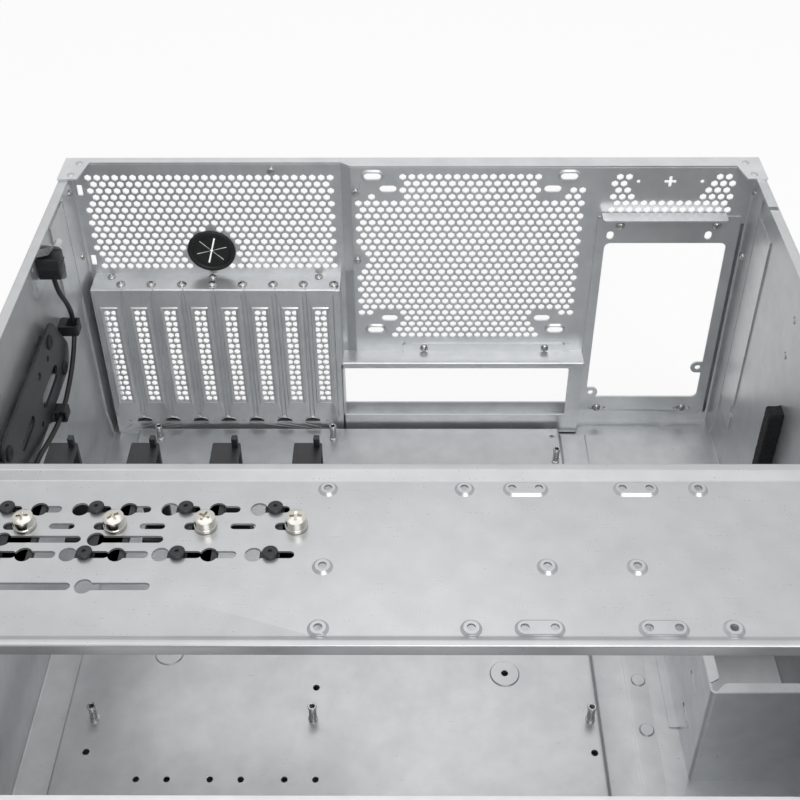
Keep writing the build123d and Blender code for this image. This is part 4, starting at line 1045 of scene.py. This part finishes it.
def buildSwitch(s):
    fold, zLow, zHigh = bentPath([(s.right, s.rear), (s.wall, s.rear), (s.wall, s.front)], s.bend), s.low, s.high
    end = fold.end
    outline = [(0.0, zLow + 2), (2.0, zLow), (end - 3, zLow), (end, zLow + 3), (end, zHigh - 3), (end - 3, zHigh),
               (2.0, zHigh), (0.0, zHigh - 2)]
    bracket = foldedSheet(outline, [circlePoints(end - 5.0, z, 1.5, 16) for z in s.rivetRows], fold, s.sheet, upright)
    finishPiece("switchBracketSheet", [bracket], sheetSteelUprightPaintedLight, "switch_bracket")
    (low, high), (seamLow, seamHigh), (eyeIn, eyeZ), (pinLow, pinHigh) = s.body, s.seam, s.eyes, s.pinRows
    parts = [softBlock(low, high, 0.7),
             softBlock((low[0] - 0.02, low[1] - 0.25, seamLow), (high[0] + 0.25, high[1] + 0.25, seamHigh), 0.2, 1)]
    eye = turned([(1.7, 0.0), (1.7, 0.5), (1.0, 0.5), (1.0, 0.1)], 20)
    parts += [aimed(eye, (x, low[1] + 0.05, eyeZ), toFront) for x in (low[0] + eyeIn, high[0] - eyeIn)]
    parts += [softBlock((x, s.y - 0.6, pinLow), (x + 1.6, s.y + 0.6, pinHigh), 0.2, 1) for x in s.pins]
    finishPiece("switchHousing", parts, blackAbs, "switch_body")
    fold, (front, rear) = bentPath(s.lever, 1.6), s.leverY
    strip = foldedSheet([(0.0, -rear + 1), (1.0, -rear), (fold.end, -rear), (fold.end, -front), (1.0, -front),
                         (0.0, -front - 1)], [], fold, 0.6, lengthwise)
    finishPiece("switchLeverStrip", [strip], zincScrew, "switch_lever")


buildSwitch(SimpleNamespace(**lidSwitch))

# lead from the switch, its clips and its plug
lead = {
    "route": ((-210.8, 162.2, 196.0), (-210.8, 162.2, 184.0), (-210.0, 175.2, 162.0), (-210.0, 176.2, 146.0),
              (-210.0, 165.2, 134.0), (-210.0, 147.2, 125.0), (-210.0, 124.2, 120.0), (-210.0, 100.2, 124.0),
              (-210.0, 76.2, 132.0), (-210.0, 54.2, 134.0), (-210.0, 40.2, 130.0), (-210.0, 28.2, 130.0)),
    "radius": 1.5, "length": 0.2085, "plug": (6.0, 14.0, 3.6),
    # outline, opening and depth of each clip, and where it starts
    "upperClip": ((-212.7, 174.8, 12.2, 10.0, 1.5), (-210.7, 174.8, 6.2, 7.6, 1.0), 7.0), "upperZ": 149.5,
    "lowerClip": ((-212.7, 120.4, 12.2, 8.4, 1.5), (-210.7, 120.4, 6.2, 6.0, 1.0), 7.6), "lowerY": 120.4,
    "latches": (((-207.8, 172.6, 149.0), (-206.0, 177.0, 150.4), 0.4),
                ((-218.8, 119.8, 115.4), (-216.6, 128.6, 125.6), 0.5)),
}


def buildLead(s):
    curve = bpy.data.curves.new("switchLeadSleeve", "CURVE")
    curve.dimensions = "3D"
    spline = curve.splines.new("NURBS")
    spline.points.add(len(s.route) - 1)
    for point, spot in zip(spline.points, s.route):
        point.co = (*(v * mm for v in spot), 1.0)
    spline.order_u, spline.use_endpoint_u, spline.resolution_u = 3, True, 12
    curve.bevel_depth, curve.bevel_resolution, curve.use_fill_caps = s.radius * mm, 5, True
    curve.materials.append(pvcSleeve)
    cord = declared(linked("switchLeadSleeve", curve), "switch_lead")
    (x, y, z), (wide, deep, tall) = s.route[-1], s.plug
    parts = [softBlock((x - wide / 2, y - deep, z - tall / 2), (x + wide / 2, y, z + tall / 2), 0.4),
             softBlock((x - 1.0, y - 9.0, z + tall / 2 - 0.2), (x + 1.0, y - 2.0, z + tall / 2 + 0.5), 0.2, 1)]
    parts += [softBlock((x + side * 1.3 - 0.8, y - deep - 0.05, z - 0.8),
                        (x + side * 1.3 + 0.8, y - deep + 0.4, z + 0.8), 0.15, 1) for side in bothSides]
    plug = finishPiece("leadPlugHousing", parts, blackAbs, "lead_plug")
    clips = [flatSheet(roundedRect(*outer), [roundedRect(*opening)], depth, place)
             for (outer, opening, depth), place in ((s.upperClip, lambda a, h, b: (a, b, s.upperZ + h)),
                                                    (s.lowerClip, lambda a, h, b: (a, s.lowerY - h, b)))]
    finishPiece("leadClips", clips + [softBlock(*latch) for latch in s.latches], blackAbs, "lead_clips")


buildLead(SimpleNamespace(**lead))
print("switch and lead built")

# dark plate on rubber mounts, and the foam block
sidePlate = {
    "x": -214.8, "thick": 1.5, "mounts": ((152.2, 132.0), (138.2, 164.0), (48.2, 162.0), (48.2, 132.0)),
    "outline": ((148.2, 172.0), (46.2, 172.0), (38.2, 160.0), (38.2, 126.0), (160.2, 126.0), (168.2, 138.0)),
    "slots": ((124.2, 142.0, 34.0, 10.0), (78.0, 148.0, 26.0, 7.0)),
    "holes": ((112.0, 160.0, 2.6, 18), (100.0, 134.0, 2.0, 16), (66.0, 134.0, 2.0, 16), (130.0, 158.0, 2.0, 16)),
    "seat": (62.0, 142.0, 94.0, 154.0),
    "mount": ((4.0, -4.0), (4.0, 0.0), (2.6, 0.1), (2.6, 1.4), (4.5, 1.5), (4.6, 2.0), (3.9, 2.6), (1.6, 2.7),
              (1.3, 2.2), (0.3, 2.1)),
}
foam = {"low": (209.8, 112.4, 39.0), "high": (218.8, 122.0, 129.0), "layers": 60, "pit": 0.28, "pitMm": 2.6,
        "grain": 0.9, "endDrop": 0.8}


def buildSidePlate(s):
    holes = [slotPoints(*slot) for slot in s.slots] + [circlePoints(*hole) for hole in s.holes]
    plate = flatSheet(softPolygon(s.outline, 5.0), holes, s.thick, lambda a, h, b: (s.x + s.thick + h, a, b), None,
                      [softPolygon(rectangle(*s.seat), 3.0)])
    finishPiece("sidePlateSheet", [plate], blackPolycarbonate, "side_plate")
    mount = turned(s.mount, 24)
    finishPiece("sidePlateMounts", [aimed(mount, (s.x, y, z), (1, 0, 0)) for y, z in s.mounts], blackRubber,
                "side_plate_grommets")


def buildFoam(s):
    (x0, y0, z0), (x1, y1, z1) = s.low, s.high
    middleX, middleY, loop = (x0 + x1) / 2, (y0 + y1) / 2, []
    ring = roundedRect(middleX, middleY, x1 - x0, y1 - y0, 0.9, 4)
    for (ax, ay), (bx, by) in zip(ring, ring[1:] + ring[:1]):
        steps = max(1, round(math.hypot(bx - ax, by - ay) / s.grain))
        loop += [(ax + (bx - ax) * k / steps, ay + (by - ay) * k / steps) for k in range(steps)]
    rows = []
    for layer in range(s.layers + 1):
        z, row = z0 + (z1 - z0) * layer / s.layers, []
        shrink = s.endDrop if layer in (0, s.layers) else 0.0
        for x, y in loop:
            dx, dy = x - middleX, y - middleY
            size = math.hypot(dx, dy)
            pit = s.pit * (noise.noise(Vector((x, y, z)) / s.pitMm * 2) - 0.9) - shrink
            move = pit if x < x1 - 0.5 else 0.0
            row.append((x + dx / size * move, y + dy / size * move, z))
        rows.append(row)
    finishPiece("wallFoamBlock", [ringSkin(rows)], blackFoam, "foam_block", 50)


buildSidePlate(SimpleNamespace(**sidePlate))
buildFoam(SimpleNamespace(**foam))

# drive cage
driveCage = {"left": 152.0, "front": -43.3, "rear": 84.2, "top": 83.0, "bend": 2.6, "flange": 5.4,
             "slotRows": (24.0, 54.0), "slotReach": 38.1, "foot": (5.0, 32.0, 8.0)}


def buildDriveCage(s):
    outer, floor, sheet, inset = plan.innerX, plan.floorTop, plan.sheet, s.flange
    fold = bentPath([(outer, s.rear), (s.left, s.rear), (s.left, s.front), (outer, s.front)], s.bend)
    wallU = uAt(fold, (s.front + s.rear) / 2, 1)
    holes = [slotPoints(wallU + side * s.slotReach, z, 16.0, 4.0) for side in bothSides for z in s.slotRows]
    parts = [foldedSheet(rectangle(0.0, floor, fold.end, s.top - 0.4), holes, fold, sheet, upright)]
    left, front, rear = s.left + 0.3, s.front + 0.3, s.rear - 0.3
    near, far = left + 2.5, left + 2.5 + inset
    for flange in ([(left, front + inset), (left + inset, front + inset + 3), (left + inset, rear - inset - 3),
                    (left, rear - inset)],
                   [(near, front), (outer, front), (outer, front + inset), (far, front + inset)],
                   [(far, rear - inset), (outer, rear - inset), (outer, rear), (near, rear)]):
        parts.append(flatSheet(softPolygon(flange, 1.4), [], sheet, lambda a, h, b: (a, b, s.top + h)))
    wide, footFront, footRear = s.foot
    foot = rectangle(s.left - wide, s.front + footFront, s.left + 1.2, s.rear - footRear)
    parts.append(flatSheet(softPolygon(foot, 1.0), [], sheet, lambda a, h, b: (a, b, floor + sheet + h)))
    finishPiece("driveCageSheet", parts, sheetSteelUprightPaintedLight, "drive_cage")


buildDriveCage(SimpleNamespace(**driveCage))
print("side pieces built")

# front panel with its fine air field, and the controls on it
frontPanel = {
    "face": -219.8, "thick": 1.6, "span": 482.6, "height": 219.5,
    "slots": (465.1, (209.55, 120.65), 10.3, 6.8),      # ear slots: spacing across and up, length and width
    "pitch": 9.0, "rowPitch": 9.0 * 0.866, "flats": 7.4, "columns": 39, "rows": 17,
    "buttonZ": 190.0, "gap": 0.35, "proud": 1.8, "depth": 5.0, "lights": (130.0, 140.0), "lightRadius": 1.5,
    # piece, node, x, radius and points round the hole
    "buttons": (("powerButtonCap", "power_button", 176.0, 5.5, 32), ("resetButtonCap", "reset_button", 156.0, 3.5, 28)),
    "guide": ((1.45, -2.1), (1.45, -0.2), (1.1, 0.0), (0.3, 0.0)),
}
handle = {"x": 198.0, "low": 39.75, "high": 179.75, "out": -250.8, "radius": 3.96, "bend": 9.0}


def buildFrontPanel(s):
    middle, (pitchX, pitchesZ, length, width) = s.height / 2, s.slots
    holes = [slotPoints(side * pitchX / 2, middle + level * pitchZ / 2, length, width, 9)
             for side in bothSides for level in bothSides for pitchZ in pitchesZ]
    holes += hexField(s.columns, s.rows, s.pitch, s.rowPitch, -s.pitch * (s.columns - 0.5) / 2,
                      middle + s.rowPitch * (s.rows - 1) / 2, s.flats)
    holes += [circlePoints(x, s.buttonZ, radius + s.gap, count) for _, _, x, radius, count in s.buttons]
    holes += [circlePoints(x, s.buttonZ, s.lightRadius, 20) for x in s.lights]
    panel = flatSheet(roundedRect(0.0, middle, s.span, s.height, 2.5), holes, s.thick,
                      lambda a, h, b: (a, s.face - h, b))
    finishPiece("frontPanelSheet", [panel], sheetSteelUprightPaintedLight, "front_panel")
    front, back = s.proud, s.depth + s.thick
    for name, node, x, radius, _ in s.buttons:
        cap = turned([(radius, -back), (radius, front - 0.7), (radius - 0.25, front - 0.2), (radius - 0.8, front),
                      (radius * 0.6, front - 0.12), (0.3, front - 0.2)], 32)
        finishPiece(name, [aimed(cap, (x, s.face, s.buttonZ), toFront)], blackAbs, node)
    guide = turned(s.guide, 20)
    finishPiece("statusLightGuides", [aimed(guide, (x, s.face, s.buttonZ), toFront) for x in s.lights], lightGuide,
                "status_lights")


def buildHandles(s, face):
    fold = bentPath([(face, s.low), (s.out, s.low), (s.out, s.high), (face, s.high)], s.bend, 8)
    for side, name, node in ((-1, "leftHandleBar", "left_handle"), (1, "rightHandleBar", "right_handle")):
        bar = tube([(side * s.x, p, q) for _, p, q, _, _ in fold.samples], s.radius, 24)
        finishPiece(name, [bar], zincScrew, node, 50)


buildFrontPanel(SimpleNamespace(**frontPanel))
buildHandles(SimpleNamespace(**handle), frontPanel["face"])
low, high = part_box("button_housing")
finishPiece("buttonHousingBox", [softBlock([v / mm for v in low], [v / mm for v in high], 0.8)], blackAbs,
            "button_housing")
print("front built")

# studio
studio = {
    "camera": (-0.99, -398.45, 609.36), "pitchDeg": 38.18, "yawDeg": 0.43, "rollDeg": -0.28,
    "focalPx": 1187.91, "centrePx": (403.32, 310.81), "framePx": 800, "sensorMm": 36.0, "clip": (0.01, 50.0),
    "skyTop": (0.0, 0.787, 0.617),       # the big diffuser stands behind the case, half way up
    "sky": ((0.0, 0.54), (0.3, 0.58), (0.55, 0.66), (0.8, 0.82), (1.0, 0.84)),   # cosine from there, brightness
    "floorReach": 6, "floorDrop": 0.0002, "floorColour": "#F4F4F4", "floorRoughness": 0.9, "floorGlow": 0.85,
    "lamps": {"overheadSoftbox": ((-0.1, 0.15, 1.6), 1.5, 5.0), "frontSoftbox": ((0.3, -1.3, 1.3), 1.2, 12.0)},
    "lampAim": (0, 0, 0.1),
}


def buildCamera(s):
    camera, frame = bpy.data.cameras.new("studioCamera"), s.framePx
    camera.sensor_width, camera.sensor_fit = s.sensorMm, "HORIZONTAL"
    camera.lens = s.focalPx / frame * s.sensorMm
    camera.shift_x = (frame / 2 - s.centrePx[0]) / frame
    camera.shift_y = (s.centrePx[1] - frame / 2) / frame
    camera.clip_start, camera.clip_end = s.clip
    scene.camera = linked("studioCamera", camera)
    yaw, pitch, roll = (math.radians(deg) for deg in (s.yawDeg, 90 - s.pitchDeg, s.rollDeg))
    turn = Matrix.Rotation(yaw, 4, "Z") @ Matrix.Rotation(pitch, 4, "X") @ Matrix.Rotation(roll, 4, "Z")
    scene.camera.matrix_world = Matrix.Translation(Vector(s.camera) * mm) @ turn


def buildSky(s):
    # the camera sees white, and everything else is lit by a soft gradient
    scene.world = bpy.data.worlds.new("studioWorld")
    scene.world.use_nodes = True
    tree = scene.world.node_tree
    tree.nodes.clear()
    path = addNode(tree, "ShaderNodeLightPath")
    seen = addNode(tree, "ShaderNodeMath", {"operation": "MAXIMUM"},
                   {0: path.outputs["Is Camera Ray"], 1: path.outputs["Is Transmission Ray"]})
    direction = addNode(tree, "ShaderNodeTexCoord")
    toward = addNode(tree, "ShaderNodeVectorMath", {"operation": "DOT_PRODUCT", 1: s.skyTop},
                     {0: direction.outputs["Generated"]})
    sky = addNode(tree, "ShaderNodeValToRGB", None, {0: toward.outputs["Value"]},
                  [(place, grey(value)) for place, value in s.sky])
    soft = addNode(tree, "ShaderNodeBackground", {"Strength": 1.0}, {"Color": sky.outputs[0]})
    white = addNode(tree, "ShaderNodeBackground", {"Color": grey(1.0), "Strength": 1.0})
    mixed = addNode(tree, "ShaderNodeMixShader", links={0: seen.outputs[0], 1: soft.outputs[0], 2: white.outputs[0]})
    addNode(tree, "ShaderNodeOutputWorld", links={"Surface": mixed.outputs[0]})


def buildFloor(s):
    material, tree, shader, out = newMaterial("paleFloor")
    shader.inputs["Base Color"].default_value = toLinear(s.floorColour)
    shader.inputs["Roughness"].default_value = s.floorRoughness
    path = addNode(tree, "ShaderNodeLightPath")
    glow = addNode(tree, "ShaderNodeEmission", {"Color": grey(1.0), "Strength": 1.0})
    share = addNode(tree, "ShaderNodeMath", {"operation": "MULTIPLY", 1: s.floorGlow},
                    {0: path.outputs["Is Camera Ray"]})
    mixed = addNode(tree, "ShaderNodeMixShader", links={0: share.outputs[0], 1: shader.outputs[0], 2: glow.outputs[0]})
    tree.links.new(mixed.outputs[0], out.inputs["Surface"])
    mesh, reach = bpy.data.meshes.new("floor"), s.floorReach
    mesh.from_pydata([(a, b, 0) for a, b in rectangle(-reach, -reach, reach, reach)], [], [(0, 1, 2, 3)])
    mesh.materials.append(material)
    floor = linked("floor", mesh)
    floor.location.z = -s.floorDrop


def buildLamps(s):
    for name, (at, size, watts) in s.lamps.items():
        lamp = bpy.data.lights.new(name, "AREA")
        lamp.shape, lamp.size, lamp.energy = "SQUARE", size, watts
        thing = linked(name, lamp)
        thing.location = at
        thing.rotation_euler = (Vector(s.lampAim) - Vector(at)).to_track_quat("-Z", "Y").to_euler()


for build in (buildCamera, buildSky, buildFloor, buildLamps):
    build(SimpleNamespace(**studio))
scene.view_settings.view_transform = "Standard"
print("studio ready")
